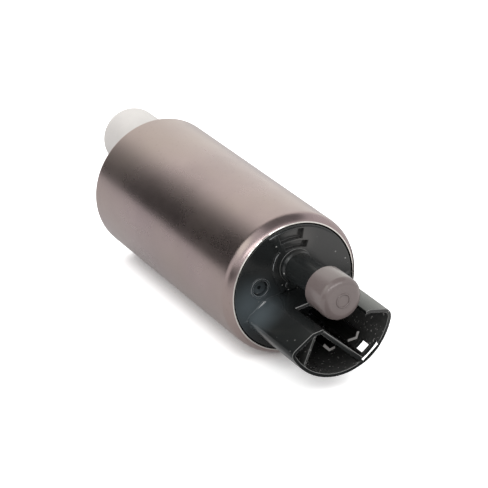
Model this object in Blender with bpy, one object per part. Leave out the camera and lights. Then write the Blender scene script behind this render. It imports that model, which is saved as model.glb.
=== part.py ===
# Electric in-tank fuel pump: steel canned body, gerotor pumping stage, brushed motor,
# moulded outlet end with a keyed two-pin connector, and a dust cap on each nipple.
# It lies on its side along X, outlet towards +X, with the floor at Z 0.
import math

import bmesh
import bpy
from mathutils import Matrix, Vector

MM = 0.001

# Clearances
SEAT_GAP = 0.3 * MM          # left between pieces that seat on each other
RUN_GAP = 0.1 * MM           # between pieces that turn or slide on each other
OVERSHOOT = 0.6 * MM         # how far a cutter or a joined boss reaches past its face

# Rolled steel body
SHELL_RADIUS = 19.5 * MM
ACROSS = SHELL_RADIUS / 19.5  # a millimetre across the pump, which grows with the body
SHELL_LENGTH = 78.4 * MM
SHELL_WALL = 1.0 * MM
OUTLET_SHOULDER = 4.4 * MM   # rolled corner over the outlet end cap
OUTLET_LIP = 2.0 * MM        # how far that corner reaches in from the outside
INLET_SHOULDER = 1.3 * MM
INLET_LIP = 3.5 * MM
SHELL_FACETS = 64
ON_AXIS = 0.002 * MM         # closer than this counts as the same place

# Outlet end cap
CAP_FLOOR_DEPTH = 0.9 * MM   # its face lies this far inside the end of the body
CAP_PLATE = 8.4 * MM
CAP_SKIRT = 11.2 * MM
CAP_SKIRT_WALL = 1.8 * MM
BEARING_BOSS_WALL = 1.1 * MM
RELIEF_PORT = (-10.0 * ACROSS, 1.8 * ACROSS)
RELIEF_PORT_RADIUS = 2.1 * MM
RELIEF_SEAT_RADIUS = 0.8 * MM
RELIEF_RIM_WIDTH = 0.7 * MM
PAD_HEIGHT = 0.7 * MM
PAD_RADIUS = 6.5 * ACROSS
PAD_RIM_INSET = 0.45 * MM
PAD_SPREAD = (math.radians(0.0), math.radians(117.0))
PAD_CORNER = -4.2 * ACROSS
POCKET_DEPTH = 1.4 * MM
OUTER_POCKET_RADII = (13.6 * ACROSS, 16.3 * ACROSS)
OUTER_POCKET_SPREAD = (math.radians(82.0), math.radians(108.0))
INNER_POCKET_RADII = (11.2 * ACROSS, 13.0 * ACROSS)
INNER_POCKET_SPREAD = (math.radians(74.0), math.radians(105.0))
GATE_MARK = (-2.1 * ACROSS, 1.3 * ACROSS)
GATE_MARK_RADIUS = 0.8 * MM
GATE_MARK_HEIGHT = 0.4 * MM

# Connector shroud: part of a circle, closed by straight faces given as (tilt, offset from the axis)
SHROUD_INSET = 2.2 * MM      # from the lip's edge to the curved wall
SHROUD_REACH = 22.0 * MM     # beyond the end of the body
SHROUD_WALL = 1.0 * MM
FLAT_FACE = (math.radians(9.3), -0.33 * ACROSS)
SLOPE_FACE = (math.radians(-11.3), 2.87 * ACROSS)
KEY_FACE = (math.radians(35.2), 3.2 * ACROSS)
SLOPE_CORNER = 2.4 * MM
KEY_CORNER = 1.6 * MM
FLAT_CORNER = 1.1 * MM
FINE_CORNER = 0.3 * MM       # the least radius left inside a corner
BAY_FLOOR = 0.6 * MM
HOSE_CUT = (-4.9 * ACROSS, 7.6 * ACROSS)   # where the flat is cut away under the hose
HOSE_CUT_BACK = 8.2 * MM     # from the end of the body
DIVIDER_THICKNESS = 1.2 * MM
DIVIDER_ANGLE = math.radians(-41.5)
DIVIDER_OFFSET = -4.85 * ACROSS
DIVIDER_DROP = 0.2 * MM      # below the mouth
KEY_RIB_THICKNESS = 0.7 * MM
KEY_RIB_ANGLE = math.radians(-111.5)
KEY_RIB_OFFSET = 5.4 * ACROSS
KEY_RIB_DROP = 0.4 * MM
PLINTH_LINE = ((-9.1 * ACROSS, -2.0 * ACROSS), (-14.0 * ACROSS, -6.7 * ACROSS))
PLINTH_HEIGHT = 0.5 * MM
LATCH_ANGLE = math.radians(-49.9)
LATCH_WINDOW = (3.7 * MM, 2.7 * MM)    # along the shroud, round the shroud
LATCH_WINDOW_DROP = 2.5 * MM
LATCH_SLOT = (1.3 * MM, 6.3 * MM)
LATCH_SLOT_DROP = 0.5 * MM
LATCH_BRIDGE = 0.6 * MM      # thickness of the strip outside the slot

# Outlet nipple
NIPPLE_OFFSET = 6.2 * ACROSS  # above the pump's axis
NIPPLE_RADIUS = 4.1 * MM
NIPPLE_BORE = 2.9 * MM
NIPPLE_STAND_IN = 1.0 * MM   # its tip lies this far inside the shroud's mouth
NIPPLE_REACH = SHROUD_REACH - NIPPLE_STAND_IN
NIPPLE_BEAD = 0.5 * MM
NIPPLE_BEAD_BACK = 3.4 * MM  # from the tip
NIPPLE_BEAD_TOP = 2.2 * MM
NIPPLE_COLLAR = (0.5 * MM, 1.9 * MM)   # proud of the tube, along it
NIPPLE_SEAT_RADIUS = 1.9 * MM
NIPPLE_SEAT_DEPTH = 2.6 * MM

# Terminals: a folded strip, drawn through the middle of its thickness
TERMINAL_THICKNESS = 0.7 * MM
TERMINAL_LEFT = ((-2.5 * ACROSS, -7.6 * ACROSS), (-0.8 * ACROSS, -9.4 * ACROSS),
                 (0.8 * ACROSS, -9.0 * ACROSS))
TERMINAL_RIGHT = ((4.6 * ACROSS, -8.1 * ACROSS), (7.1 * ACROSS, -7.9 * ACROSS),
                  (7.6 * ACROSS, -6.2 * ACROSS))
TERMINAL_DROP = 3.6 * MM               # below the mouth
TERMINAL_TAIL = 2.5 * MM               # behind the cap's plate

# Chokes on moulded pegs
CHOKE_LEFT = (-6.6 * ACROSS, -10.6 * ACROSS)
CHOKE_RIGHT = (12.2 * ACROSS, -4.6 * ACROSS)
CHOKE_PEG_RADIUS = 0.9 * ACROSS
CHOKE_WIRE = 1.0 * ACROSS
CHOKE_TURNS = 7

# Dust caps
OUTLET_CAP_LENGTH = 9.0 * MM
OUTLET_CAP_WALL = 0.9 * MM
OUTLET_CAP_EDGE = 2.0 * MM
OUTLET_CAP_HEADROOM = 1.4 * MM         # between the nipple's tip and the cap's inside
CAP_MARK_RADIUS = 1.8 * MM
CAP_MARK_HEIGHT = 0.25 * MM
INLET_CAP_RADIUS = 8.5 * ACROSS
INLET_CAP_WALL = 1.2 * MM
INLET_CAP_EDGE = 5.2 * ACROSS
INLET_CAP_HEADROOM = 1.8 * MM
INLET_CAP_FLANGE = 0.45 * MM

# Inlet end body
INLET_PLATE = 9.0 * MM
INLET_BOSS_STAND_IN = 0.2 * MM   # its face lies this far inside the end of the body
INLET_OFFSET = 8.6 * ACROSS
INLET_REACH = 17.0 * MM
INLET_TUBE_WALL = 1.3 * MM
INLET_BEAD = 0.7 * MM
INLET_BORE_FLOOR = 3.6 * MM
SEAL_GROOVE = (2.1 * MM, 1.8 * MM)   # width, depth
SEAL_SECTION = 0.75 * MM

# Gerotor
LOBES = 6
ROTOR_WIDTH = 5.8 * MM
ECCENTRICITY = 1.0 * ACROSS
LOBE_CIRCLE = 9.0 * ACROSS
LOBE_RADIUS = 3.0 * ACROSS
OUTER_ROTOR_RADIUS = 11.5 * ACROSS
PORT_RADIUS = 7.0 * ACROSS
PORT_WIDTH = 2.4 * ACROSS
PORT_SPREAD = math.radians(52.0)
DISCHARGE_PLATE = 4.0 * MM
DOWEL_RADIUS = 1.0 * MM
DOWEL_CIRCLE = 14.9 * ACROSS
DOWEL_SEAT = 2.8 * MM

# Motor
SHAFT_RADIUS = 2.0 * ACROSS
SHAFT_COLLAR = 3.2 * ACROSS
SHAFT_FLAT = 1.5 * ACROSS
COUPLER_RADIUS = 4.2 * ACROSS
COUPLER_TANG = (2.0 * ACROSS, 1.8 * MM)   # width, reach into the inner rotor
BUSHING_WALL = 0.9 * MM
BUSHING_LENGTH = 3.0 * MM
FLUX_RING_WALL = 1.3 * MM
MAGNET_THICKNESS = 3.4 * ACROSS
MAGNET_SPREAD = math.radians(62.0)
MAGNET_END_SPACE = 3.0 * MM
CLIP_THICKNESS = 0.6 * MM
CLIP_SPREAD = math.radians(19.0)
CLIP_LEG = 2.0 * ACROSS
AIR_GAP = 0.6 * MM
SLOTS = 8
TOOTH_WIDTH = 3.2 * ACROSS
SLOT_FLOOR = 5.9 * ACROSS
POLE_TIP = 1.1 * ACROSS
SLOT_OPENING = 1.8 * ACROSS
END_TURN = 4.2 * MM
END_TURN_SPACE = 1.8 * MM
COMMUTATOR_RADIUS = 9.6 * ACROSS
COMMUTATOR_THICKNESS = 3.0 * MM
COMMUTATOR_SLIT = (0.5 * MM, 0.9 * MM)   # width, depth
COMMUTATOR_SINK = 1.7 * MM   # its face lies this far inside the cap's skirt
WASHER_THICKNESS = 0.7 * MM
WASHER_RADIUS = 4.0 * ACROSS

# Brushes
BRUSH_CIRCLE = 7.1 * ACROSS
BRUSH_ANGLE = math.radians(25.0)
BRUSH_SECTION = (4.4 * ACROSS, 3.6 * ACROSS)
BRUSH_LENGTH = 8.0 * MM
BRUSH_POCKET_CLEARANCE = 0.2 * MM
BRUSH_GUIDE_WALL = 0.9 * MM
BRUSH_ROOF = 1.9 * MM        # left between a brush pocket and the cap's face
SPRING_WIRE = 0.25 * MM

# Valves
POPPET_HEAD = 2.5 * MM
POPPET_HEAD_THICKNESS = 1.0 * MM
POPPET_STEM = 0.7 * MM
CHECK_SPRING_LENGTH = 5.0 * MM
CHECK_GUIDE = 1.6 * MM
POPPET_LIFT = 2.0 * MM
RELIEF_BALL = 1.3 * MM
RELIEF_PLUG = 1.4 * MM
RELIEF_PLUG_SINK = 0.5 * MM  # its face lies this far inside the cap's face
RELIEF_VENT = 0.5 * MM

# Places along X, measured from the middle of the steel body
INLET_END = -SHELL_LENGTH / 2
OUTLET_END = SHELL_LENGTH / 2
SHELL_BORE = SHELL_RADIUS - SHELL_WALL
INNER_RADIUS = SHELL_BORE - SEAT_GAP
LIP_RADIUS = SHELL_RADIUS - OUTLET_LIP
CAP_FACE_RADIUS = LIP_RADIUS - SEAT_GAP
CAP_FACE = OUTLET_END - CAP_FLOOR_DEPTH
CAP_BACK = CAP_FACE - CAP_PLATE
SKIRT_END = CAP_BACK - CAP_SKIRT
SHROUD_RADIUS = LIP_RADIUS - SHROUD_INSET
MOUTH = OUTLET_END + SHROUD_REACH
NIPPLE_TIP = OUTLET_END + NIPPLE_REACH
INLET_FLANGE_FACE = INLET_END + SHELL_WALL + SEAT_GAP
INLET_BACK = INLET_FLANGE_FACE + INLET_PLATE
INLET_BOSS_FACE = INLET_END + INLET_BOSS_STAND_IN
INLET_TIP = INLET_END - INLET_REACH
RING_START = INLET_BACK + SEAT_GAP
RING_END = RING_START + ROTOR_WIDTH + 2 * RUN_GAP
PLATE_START = RING_END + SEAT_GAP
PLATE_END = PLATE_START + DISCHARGE_PLATE
FLUX_START = PLATE_END + SEAT_GAP
FLUX_END = SKIRT_END - SEAT_GAP
COMMUTATOR_FACE = SKIRT_END + COMMUTATOR_SINK
COMMUTATOR_BACK = COMMUTATOR_FACE - COMMUTATOR_THICKNESS
BOSS_END = COMMUTATOR_FACE + 2 * SEAT_GAP + WASHER_THICKNESS
FIRST_WASHER = PLATE_END + SEAT_GAP
WINDING_START = FLUX_START + END_TURN_SPACE + SEAT_GAP
WINDING_END = COMMUTATOR_BACK - END_TURN_SPACE + SEAT_GAP
CORE_START = WINDING_START + END_TURN + SEAT_GAP
CORE_END = WINDING_END - END_TURN - SEAT_GAP
FLUX_BORE = INNER_RADIUS - FLUX_RING_WALL
MAGNET_OUTER = FLUX_BORE - SEAT_GAP
MAGNET_INNER = MAGNET_OUTER - MAGNET_THICKNESS
CORE_RADIUS = MAGNET_INNER - AIR_GAP
SHAFT_BORE = SHAFT_RADIUS + SEAT_GAP
BUSHING_RADIUS = SHAFT_RADIUS + RUN_GAP + BUSHING_WALL
BUSHING_SEAT = BUSHING_RADIUS + SEAT_GAP
BEARING_BOSS = BUSHING_SEAT + BEARING_BOSS_WALL
OUTLET_BUSHING_START = BOSS_END + SEAT_GAP
SHAFT_OUTLET_TIP = OUTLET_BUSHING_START + BUSHING_LENGTH + 2 * SEAT_GAP
PUMP_BUSHING_END = INLET_BACK - SEAT_GAP
PUMP_BUSHING_START = PUMP_BUSHING_END - BUSHING_LENGTH
SHAFT_PUMP_TIP = PUMP_BUSHING_START
BRUSH_FACE = COMMUTATOR_FACE + SEAT_GAP
BRUSH_POCKET_END = CAP_FACE - BRUSH_ROOF
CHECK_CHAMBER = CAP_BACK + NIPPLE_SEAT_DEPTH
OUTLET_CAP_BORE = NIPPLE_RADIUS + NIPPLE_BEAD + SEAT_GAP
OUTLET_CAP_RADIUS = OUTLET_CAP_BORE + OUTLET_CAP_WALL
OUTLET_CAP_TIP = NIPPLE_TIP + OUTLET_CAP_HEADROOM + OUTLET_CAP_WALL
OUTLET_CAP_RIM = OUTLET_CAP_TIP - OUTLET_CAP_LENGTH
INLET_CAP_BORE = INLET_CAP_RADIUS - INLET_CAP_WALL
INLET_BEAD_RADIUS = INLET_CAP_BORE - SEAT_GAP
INLET_TUBE_RADIUS = INLET_BEAD_RADIUS - INLET_BEAD
INLET_BORE = INLET_TUBE_RADIUS - INLET_TUBE_WALL
INLET_CAP_TIP = INLET_TIP - INLET_CAP_HEADROOM - INLET_CAP_WALL
INLET_CAP_RIM = INLET_BOSS_FACE - 2 * SEAT_GAP
OUTER_CENTRE = (ECCENTRICITY, 0.0)
AXIS_HEIGHT = SHELL_RADIUS * math.cos(math.pi / SHELL_FACETS)
MIDDLE_X = -(OUTLET_CAP_TIP + CAP_MARK_HEIGHT + INLET_CAP_TIP) / 2


def clear_scene():
    for item in list(bpy.data.objects):
        bpy.data.objects.remove(item)


def make_material(name, colour, roughness, metallic=0.0, alpha=1.0):
    material = bpy.data.materials.new(name)
    material.use_nodes = True
    shader = material.node_tree.nodes["Principled BSDF"]
    shader.inputs["Base Color"].default_value = (*colour, 1.0)
    shader.inputs["Roughness"].default_value = roughness
    shader.inputs["Metallic"].default_value = metallic
    shader.inputs["Alpha"].default_value = alpha
    return material


def finish_mesh(bm, name):
    bmesh.ops.remove_doubles(bm, verts=bm.verts, dist=ON_AXIS)
    bmesh.ops.recalc_face_normals(bm, faces=bm.faces)
    mesh = bpy.data.meshes.new(name)
    bm.to_mesh(mesh)
    bm.free()
    return mesh


def make_object(bm, name):
    item = bpy.data.objects.new(name, finish_mesh(bm, name))
    bpy.context.collection.objects.link(item)
    return item


def arc(centre, radius, start, end, steps):
    """Points from start to end, in radians, both ends included."""
    points = []
    for step in range(steps + 1):
        angle = start + (end - start) * step / steps
        points.append((centre[0] + radius * math.cos(angle), centre[1] + radius * math.sin(angle)))
    return points


def turned(name, profile, centre=(0.0, 0.0), facets=32, half_step=False):
    """Spin an (x, radius) outline, closed by itself or by the axis, round a line along X."""
    bm = bmesh.new()
    verts = [bm.verts.new((x, centre[0], centre[1] + radius)) for x, radius in profile]
    edges = [bm.edges.new(pair) for pair in zip(verts, verts[1:])]
    on_axis = profile[0][1] < ON_AXIS
    if not on_axis:
        edges.append(bm.edges.new((verts[-1], verts[0])))
    axis_point = Vector((0.0, centre[0], centre[1]))
    if half_step:
        turn = Matrix.Rotation(math.pi / facets, 3, "X")
        bmesh.ops.rotate(bm, verts=verts, cent=axis_point, matrix=turn)
    bmesh.ops.spin(bm, geom=verts + edges, cent=axis_point, axis=(1.0, 0.0, 0.0),
                   angle=math.tau, steps=facets, use_merge=True)
    if on_axis:
        merge_flat_ends(bm, axis_point)
    return make_object(bm, name)


def merge_flat_ends(bm, axis_point):
    """Make one face of each flat end, in place of a fan of slices."""
    bmesh.ops.remove_doubles(bm, verts=bm.verts, dist=ON_AXIS)
    for vert in [vert for vert in bm.verts if (vert.co - axis_point).yz.length < ON_AXIS]:
        if max(abs(edge.other_vert(vert).co.x - vert.co.x) for edge in vert.link_edges) < ON_AXIS:
            bmesh.ops.dissolve_verts(bm, verts=[vert])


def extruded(name, outline, start, end):
    """Push a closed (y, z) outline along X from start to end."""
    bm = bmesh.new()
    face = bm.faces.new([bm.verts.new((start, y, z)) for y, z in outline])
    pushed = bmesh.ops.extrude_face_region(bm, geom=[face])
    moved = [item for item in pushed["geom"] if isinstance(item, bmesh.types.BMVert)]
    bmesh.ops.translate(bm, verts=moved, vec=(end - start, 0.0, 0.0))
    return make_object(bm, name)


def round_bar(name, centre, radius, start, end, facets=24):
    return turned(name, [(start, 0.0), (start, radius), (end, radius), (end, 0.0)], centre, facets)


def ring(name, inner, outer, start, end, centre=(0.0, 0.0), facets=32):
    return turned(name, [(start, inner), (start, outer), (end, outer), (end, inner)], centre, facets)


def box_outline(centre, size, angle=0.0):
    """A rectangle in (y, z), its first side turned by angle."""
    along = Vector((math.cos(angle), math.sin(angle))) * size[0] / 2
    across = Vector((-math.sin(angle), math.cos(angle))) * size[1] / 2
    corners = (-along - across, along - across, along + across, across - along)
    return [tuple(Vector(centre) + corner) for corner in corners]


def combine(target, tool, operation):
    modifier = target.modifiers.new(operation.title(), "BOOLEAN")
    modifier.operation = operation
    modifier.solver = "EXACT"
    modifier.object = tool
    view = bpy.context.evaluated_depsgraph_get()
    result = bpy.data.meshes.new_from_object(target.evaluated_get(view))
    target.modifiers.clear()
    target.data = result
    bpy.data.objects.remove(tool)
    return target


def cut(target, tool):
    return combine(target, tool, "DIFFERENCE")


def join(target, tool):
    return combine(target, tool, "UNION")


def keep_inside(target, tool):
    return combine(target, tool, "INTERSECT")


def polar(radius, angle):
    return (radius * math.cos(angle), radius * math.sin(angle))


def arc_slot(radius, width, middle, spread, steps=10):
    """A kidney: an arc of a wide slot with round ends, centred on the pump's axis."""
    half = width / 2
    start, end = middle - spread, middle + spread
    outline = arc((0.0, 0.0), radius + half, start, end, steps)
    outline += arc(polar(radius, end), half, end, end + math.pi, 5)[1:-1]
    outline += arc((0.0, 0.0), radius - half, end, start, steps)
    outline += arc(polar(radius, start), half, start + math.pi, start + math.tau, 5)[1:-1]
    return outline


def make_shell():
    corner = OUTLET_END - OUTLET_SHOULDER
    middle = (corner, SHELL_RADIUS - OUTLET_SHOULDER)
    inner_shoulder = OUTLET_SHOULDER - SHELL_WALL
    outer_stop = math.asin((LIP_RADIUS - middle[1]) / OUTLET_SHOULDER)
    inner_stop = math.asin((LIP_RADIUS - middle[1]) / inner_shoulder)
    inlet_middle = (INLET_END + INLET_SHOULDER, SHELL_RADIUS - INLET_SHOULDER)
    inlet_lip = SHELL_RADIUS - INLET_LIP
    profile = [(INLET_END, inlet_lip)]
    profile += arc(inlet_middle, INLET_SHOULDER, math.pi, math.pi / 2, 3)
    profile += arc(middle, OUTLET_SHOULDER, math.pi / 2, outer_stop, 5)
    profile += arc(middle, inner_shoulder, inner_stop, math.pi / 2, 4)
    profile += arc(inlet_middle, INLET_SHOULDER - SHELL_WALL, math.pi / 2, math.pi, 2)
    profile += [(INLET_END + SHELL_WALL, inlet_lip)]
    return turned("pump_shell", profile, facets=SHELL_FACETS, half_step=True)


def crossing(first, second):
    """Where two straight faces, each given as (tilt, offset), meet in (y, z)."""
    (tilt_a, offset_a), (tilt_b, offset_b) = first, second
    spread = math.sin(tilt_b - tilt_a)
    return ((offset_a * math.cos(tilt_b) - offset_b * math.cos(tilt_a)) / spread,
            (offset_a * math.sin(tilt_b) - offset_b * math.sin(tilt_a)) / spread)


def moved_in(face, distance):
    return (face[0], face[1] - distance)


def on_face(tilt, along, level):
    """The (y, z) place that lies along a tilted line, level above the axis, measured square to it."""
    return (along * math.cos(tilt) - level * math.sin(tilt),
            along * math.sin(tilt) + level * math.cos(tilt))


def corner_centre(face, radius, corner, side):
    """Middle of the rounding between a straight face and the circle, on the face's left or right."""
    tilt, depth = moved_in(face, corner)
    return on_face(tilt, side * math.sqrt((radius - corner) ** 2 - depth ** 2), depth)


def shroud_outline(inset):
    """The connector's outline in (y, z), moved inwards by inset, from its crease and round clockwise."""
    radius = SHROUD_RADIUS - inset
    flat, slope, key = [moved_in(face, inset) for face in (FLAT_FACE, SLOPE_FACE, KEY_FACE)]
    at_slope, at_key, at_flat = [max(size - inset, FINE_CORNER)
                                 for size in (SLOPE_CORNER, KEY_CORNER, FLAT_CORNER)]
    right = corner_centre(slope, radius, at_slope, 1)
    left = corner_centre(key, radius, at_key, -1)
    top = crossing(moved_in(key, at_flat), moved_in(flat, at_flat))
    right_angle, left_angle = math.atan2(right[1], right[0]), math.atan2(left[1], left[0])
    up = math.pi / 2
    outline = [crossing(flat, slope)]
    outline += arc(right, at_slope, slope[0] + up, right_angle, 5)
    outline += arc((0.0, 0.0), radius, right_angle, left_angle, 26)[1:-1]
    outline += arc(left, at_key, left_angle, key[0] + up - math.tau, 4)
    return outline + arc(top, at_flat, key[0] + up, flat[0] + up, 2)


def shroud_prism(name, inset, start, end):
    return extruded(name, shroud_outline(inset), start, end)


def wall_across_shroud(name, offset, angle, thickness, end):
    """A straight wall at the given angle that passes offset to the left of the axis."""
    outline = box_outline(polar(offset, angle + math.pi / 2), (2 * SHROUD_RADIUS, thickness), angle)
    wall = extruded(name, outline, CAP_FACE + BAY_FLOOR - OVERSHOOT, end)
    return keep_inside(wall, shroud_prism("wall_limit", SHROUD_WALL / 2, CAP_FACE - OVERSHOOT, MOUTH))


def latch_cut(size, drop, outside):
    """A radial opening through the curved wall, out to the given radius."""
    end = MOUTH - drop
    start_radius = SHROUD_RADIUS - SHROUD_WALL - OVERSHOOT
    outline = box_outline(polar((start_radius + outside) / 2, LATCH_ANGLE),
                          (outside - start_radius, size[1]), LATCH_ANGLE)
    return extruded("latch_cut", outline, end - size[0], end)


def hose_cut():
    """The block that takes the flat away under the hose, square to the flat."""
    tilt, offset = FLAT_FACE
    left, right = HOSE_CUT
    above, below = offset + SHROUD_WALL, offset - SHROUD_WALL - OVERSHOOT
    outline = [on_face(tilt, left, above), on_face(tilt, right, above),
               on_face(tilt, right, below), on_face(tilt, left, below)]
    return extruded("hose_cut", outline, OUTLET_END + HOSE_CUT_BACK, MOUTH + OVERSHOOT)


def strip_outline(line, thickness, longer=0.0):
    """A folded strip in (y, z), drawn through three points in the middle of its thickness."""
    first, fold, last = [Vector(point) for point in line]
    before, after = (fold - first).normalized(), (last - fold).normalized()
    first, last = first - before * longer, last + after * longer
    side_before, side_after = Vector((-before.y, before.x)), Vector((-after.y, after.x))
    mitre = (side_before + side_after) / (1 + side_before.dot(side_after))
    half = thickness / 2
    outline = [first + side_before * half, fold + mitre * half, last + side_after * half]
    outline += [last - side_after * half, fold - mitre * half, first - side_before * half]
    return [tuple(point) for point in outline]


def add_connector(cap):
    base = CAP_FACE - OVERSHOOT
    join(cap, shroud_prism("shroud", 0.0, base, MOUTH))
    upper, lower = PLINTH_LINE
    inside = crossing(moved_in(KEY_FACE, SHROUD_WALL / 2), moved_in(FLAT_FACE, SHROUD_WALL / 2))
    plinth = [upper, lower, polar(SHROUD_RADIUS - SHROUD_WALL / 2, math.atan2(lower[1], lower[0])), inside]
    join(cap, extruded("plinth", plinth, base, CAP_FACE + PLINTH_HEIGHT))
    cut(cap, shroud_prism("shroud_bay", SHROUD_WALL, CAP_FACE + BAY_FLOOR, MOUTH + OVERSHOOT))
    cut(cap, hose_cut())
    join(cap, wall_across_shroud("divider", DIVIDER_OFFSET, DIVIDER_ANGLE, DIVIDER_THICKNESS,
                                 MOUTH - DIVIDER_DROP))
    rib = extruded("key_rib", box_outline(polar(KEY_RIB_OFFSET, KEY_RIB_ANGLE - math.pi / 2),
                                          (2 * SHROUD_RADIUS, KEY_RIB_THICKNESS), KEY_RIB_ANGLE),
                   CAP_FACE + BAY_FLOOR - OVERSHOOT, MOUTH - KEY_RIB_DROP)
    join(cap, keep_inside(rib, shroud_prism("rib_limit", SHROUD_WALL / 2, base, MOUTH)))
    cut(cap, latch_cut(LATCH_WINDOW, LATCH_WINDOW_DROP, SHROUD_RADIUS + OVERSHOOT))
    cut(cap, latch_cut(LATCH_SLOT, LATCH_SLOT_DROP, SHROUD_RADIUS + OVERSHOOT))
    relief = (LATCH_SLOT_DROP + OVERSHOOT + LATCH_SLOT[0] / 2, LATCH_SLOT[1] - 2 * SEAT_GAP)
    cut(cap, latch_cut(relief, -OVERSHOOT, SHROUD_RADIUS - LATCH_BRIDGE))
    for line in (TERMINAL_LEFT, TERMINAL_RIGHT):
        slot = strip_outline(line, TERMINAL_THICKNESS + 2 * SEAT_GAP, SEAT_GAP)
        cut(cap, extruded("terminal_slot", slot, CAP_BACK - OVERSHOOT, CAP_FACE + BAY_FLOOR + OVERSHOOT))


def add_face_pad(cap):
    """The raised area that carries the nipple, with two arc pockets near the rim."""
    rim = CAP_FACE_RADIUS - PAD_RIM_INSET
    outline = arc((0.0, NIPPLE_OFFSET), PAD_RADIUS, math.radians(134.0), math.radians(197.0), 7)
    outline += [(PAD_CORNER, FLAT_FACE[1])]
    outline += arc((0.0, 0.0), rim, *PAD_SPREAD, 22)
    top = CAP_FACE + PAD_HEIGHT
    join(cap, extruded("pad", outline, CAP_FACE - OVERSHOOT, top))
    pockets = ((OUTER_POCKET_RADII, OUTER_POCKET_SPREAD), (INNER_POCKET_RADII, INNER_POCKET_SPREAD))
    for (inner, outer), (start, end) in pockets:
        pocket = arc((0.0, 0.0), outer, start, end, 6) + arc((0.0, 0.0), inner, end, start, 6)
        cut(cap, extruded("pad_pocket", pocket, top - POCKET_DEPTH, top + OVERSHOOT))
    join(cap, round_bar("gate_mark", GATE_MARK, GATE_MARK_RADIUS, CAP_FACE, top + GATE_MARK_HEIGHT, 16))


def add_nipple(cap):
    centre = (0.0, NIPPLE_OFFSET)
    proud, collar = NIPPLE_COLLAR
    profile = [(CAP_FACE - OVERSHOOT, 0.0), (CAP_FACE - OVERSHOOT, NIPPLE_RADIUS + proud),
               (CAP_FACE + collar, NIPPLE_RADIUS + proud), (CAP_FACE + collar + proud, NIPPLE_RADIUS),
               (NIPPLE_TIP - NIPPLE_BEAD_BACK, NIPPLE_RADIUS),
               (NIPPLE_TIP - NIPPLE_BEAD_TOP, NIPPLE_RADIUS + NIPPLE_BEAD),
               (NIPPLE_TIP - proud, NIPPLE_RADIUS - proud / 2), (NIPPLE_TIP, NIPPLE_BORE + proud),
               (NIPPLE_TIP, 0.0)]
    join(cap, turned("nipple", profile, centre, 32))
    cut(cap, round_bar("nipple_bore", centre, NIPPLE_BORE, CHECK_CHAMBER, NIPPLE_TIP + OVERSHOOT, 24))
    cut(cap, round_bar("nipple_seat", centre, NIPPLE_SEAT_RADIUS, CAP_BACK - OVERSHOOT,
                       CHECK_CHAMBER + OVERSHOOT, 20))


def brush_centre(turn):
    return polar(BRUSH_CIRCLE, BRUSH_ANGLE + turn)


def add_brush_guides(cap):
    outer = [side + 2 * (BRUSH_POCKET_CLEARANCE + BRUSH_GUIDE_WALL) for side in BRUSH_SECTION]
    pocket = [side + 2 * BRUSH_POCKET_CLEARANCE for side in BRUSH_SECTION]
    for turn in (0.0, math.pi):
        guide = box_outline(brush_centre(turn), outer, BRUSH_ANGLE)
        join(cap, extruded("guide", guide, BOSS_END + SEAT_GAP, CAP_BACK + OVERSHOOT))
    for turn in (0.0, math.pi):
        hole = box_outline(brush_centre(turn), pocket, BRUSH_ANGLE)
        cut(cap, extruded("guide_hole", hole, BOSS_END - OVERSHOOT, BRUSH_POCKET_END))


def make_outlet_end_cap():
    corner = OUTLET_END - OUTLET_SHOULDER
    middle = (corner, SHELL_RADIUS - OUTLET_SHOULDER)
    shoulder = OUTLET_SHOULDER - SHELL_WALL - SEAT_GAP
    stop = math.asin((CAP_FACE_RADIUS - middle[1]) / shoulder)
    profile = [(CAP_FACE, 0.0), (CAP_FACE, CAP_FACE_RADIUS)]
    profile += arc(middle, shoulder, stop, math.pi / 2, 4)
    profile += [(SKIRT_END, INNER_RADIUS), (SKIRT_END, INNER_RADIUS - CAP_SKIRT_WALL),
                (CAP_BACK, INNER_RADIUS - CAP_SKIRT_WALL), (CAP_BACK, 0.0)]
    cap = turned("outlet_end_cap", profile, facets=SHELL_FACETS)
    join(cap, round_bar("boss", (0.0, 0.0), BEARING_BOSS, BOSS_END, CAP_BACK + OVERSHOOT, 32))
    for peg in (CHOKE_LEFT, CHOKE_RIGHT):
        join(cap, round_bar("peg", peg, CHOKE_PEG_RADIUS, SKIRT_END + 2 * SEAT_GAP, CAP_BACK + OVERSHOOT, 12))
    add_brush_guides(cap)
    cut(cap, round_bar("bearing_hole", (0.0, 0.0), BUSHING_SEAT, BOSS_END - OVERSHOOT,
                       SHAFT_OUTLET_TIP + SEAT_GAP, 32))
    add_face_pad(cap)
    add_connector(cap)
    add_nipple(cap)
    add_relief_port(cap)
    return cap


def add_relief_port(cap):
    rim = RELIEF_PORT_RADIUS + RELIEF_RIM_WIDTH
    join(cap, round_bar("port_rim", RELIEF_PORT, rim, CAP_FACE - OVERSHOOT, CAP_FACE + PAD_HEIGHT / 2, 28))
    cut(cap, round_bar("port", RELIEF_PORT, RELIEF_PORT_RADIUS, CAP_BACK + RELIEF_RIM_WIDTH,
                       CAP_FACE + PAD_HEIGHT, 24))
    cut(cap, round_bar("port_seat", RELIEF_PORT, RELIEF_SEAT_RADIUS, CAP_BACK - OVERSHOOT,
                       CAP_BACK + RELIEF_RIM_WIDTH + OVERSHOOT, 16))


def make_terminals():
    start, end = CAP_BACK - TERMINAL_TAIL, MOUTH - TERMINAL_DROP
    return [extruded(name, strip_outline(line, TERMINAL_THICKNESS), start, end)
            for name, line in (("terminal_left", TERMINAL_LEFT), ("terminal_right", TERMINAL_RIGHT))]


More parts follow.
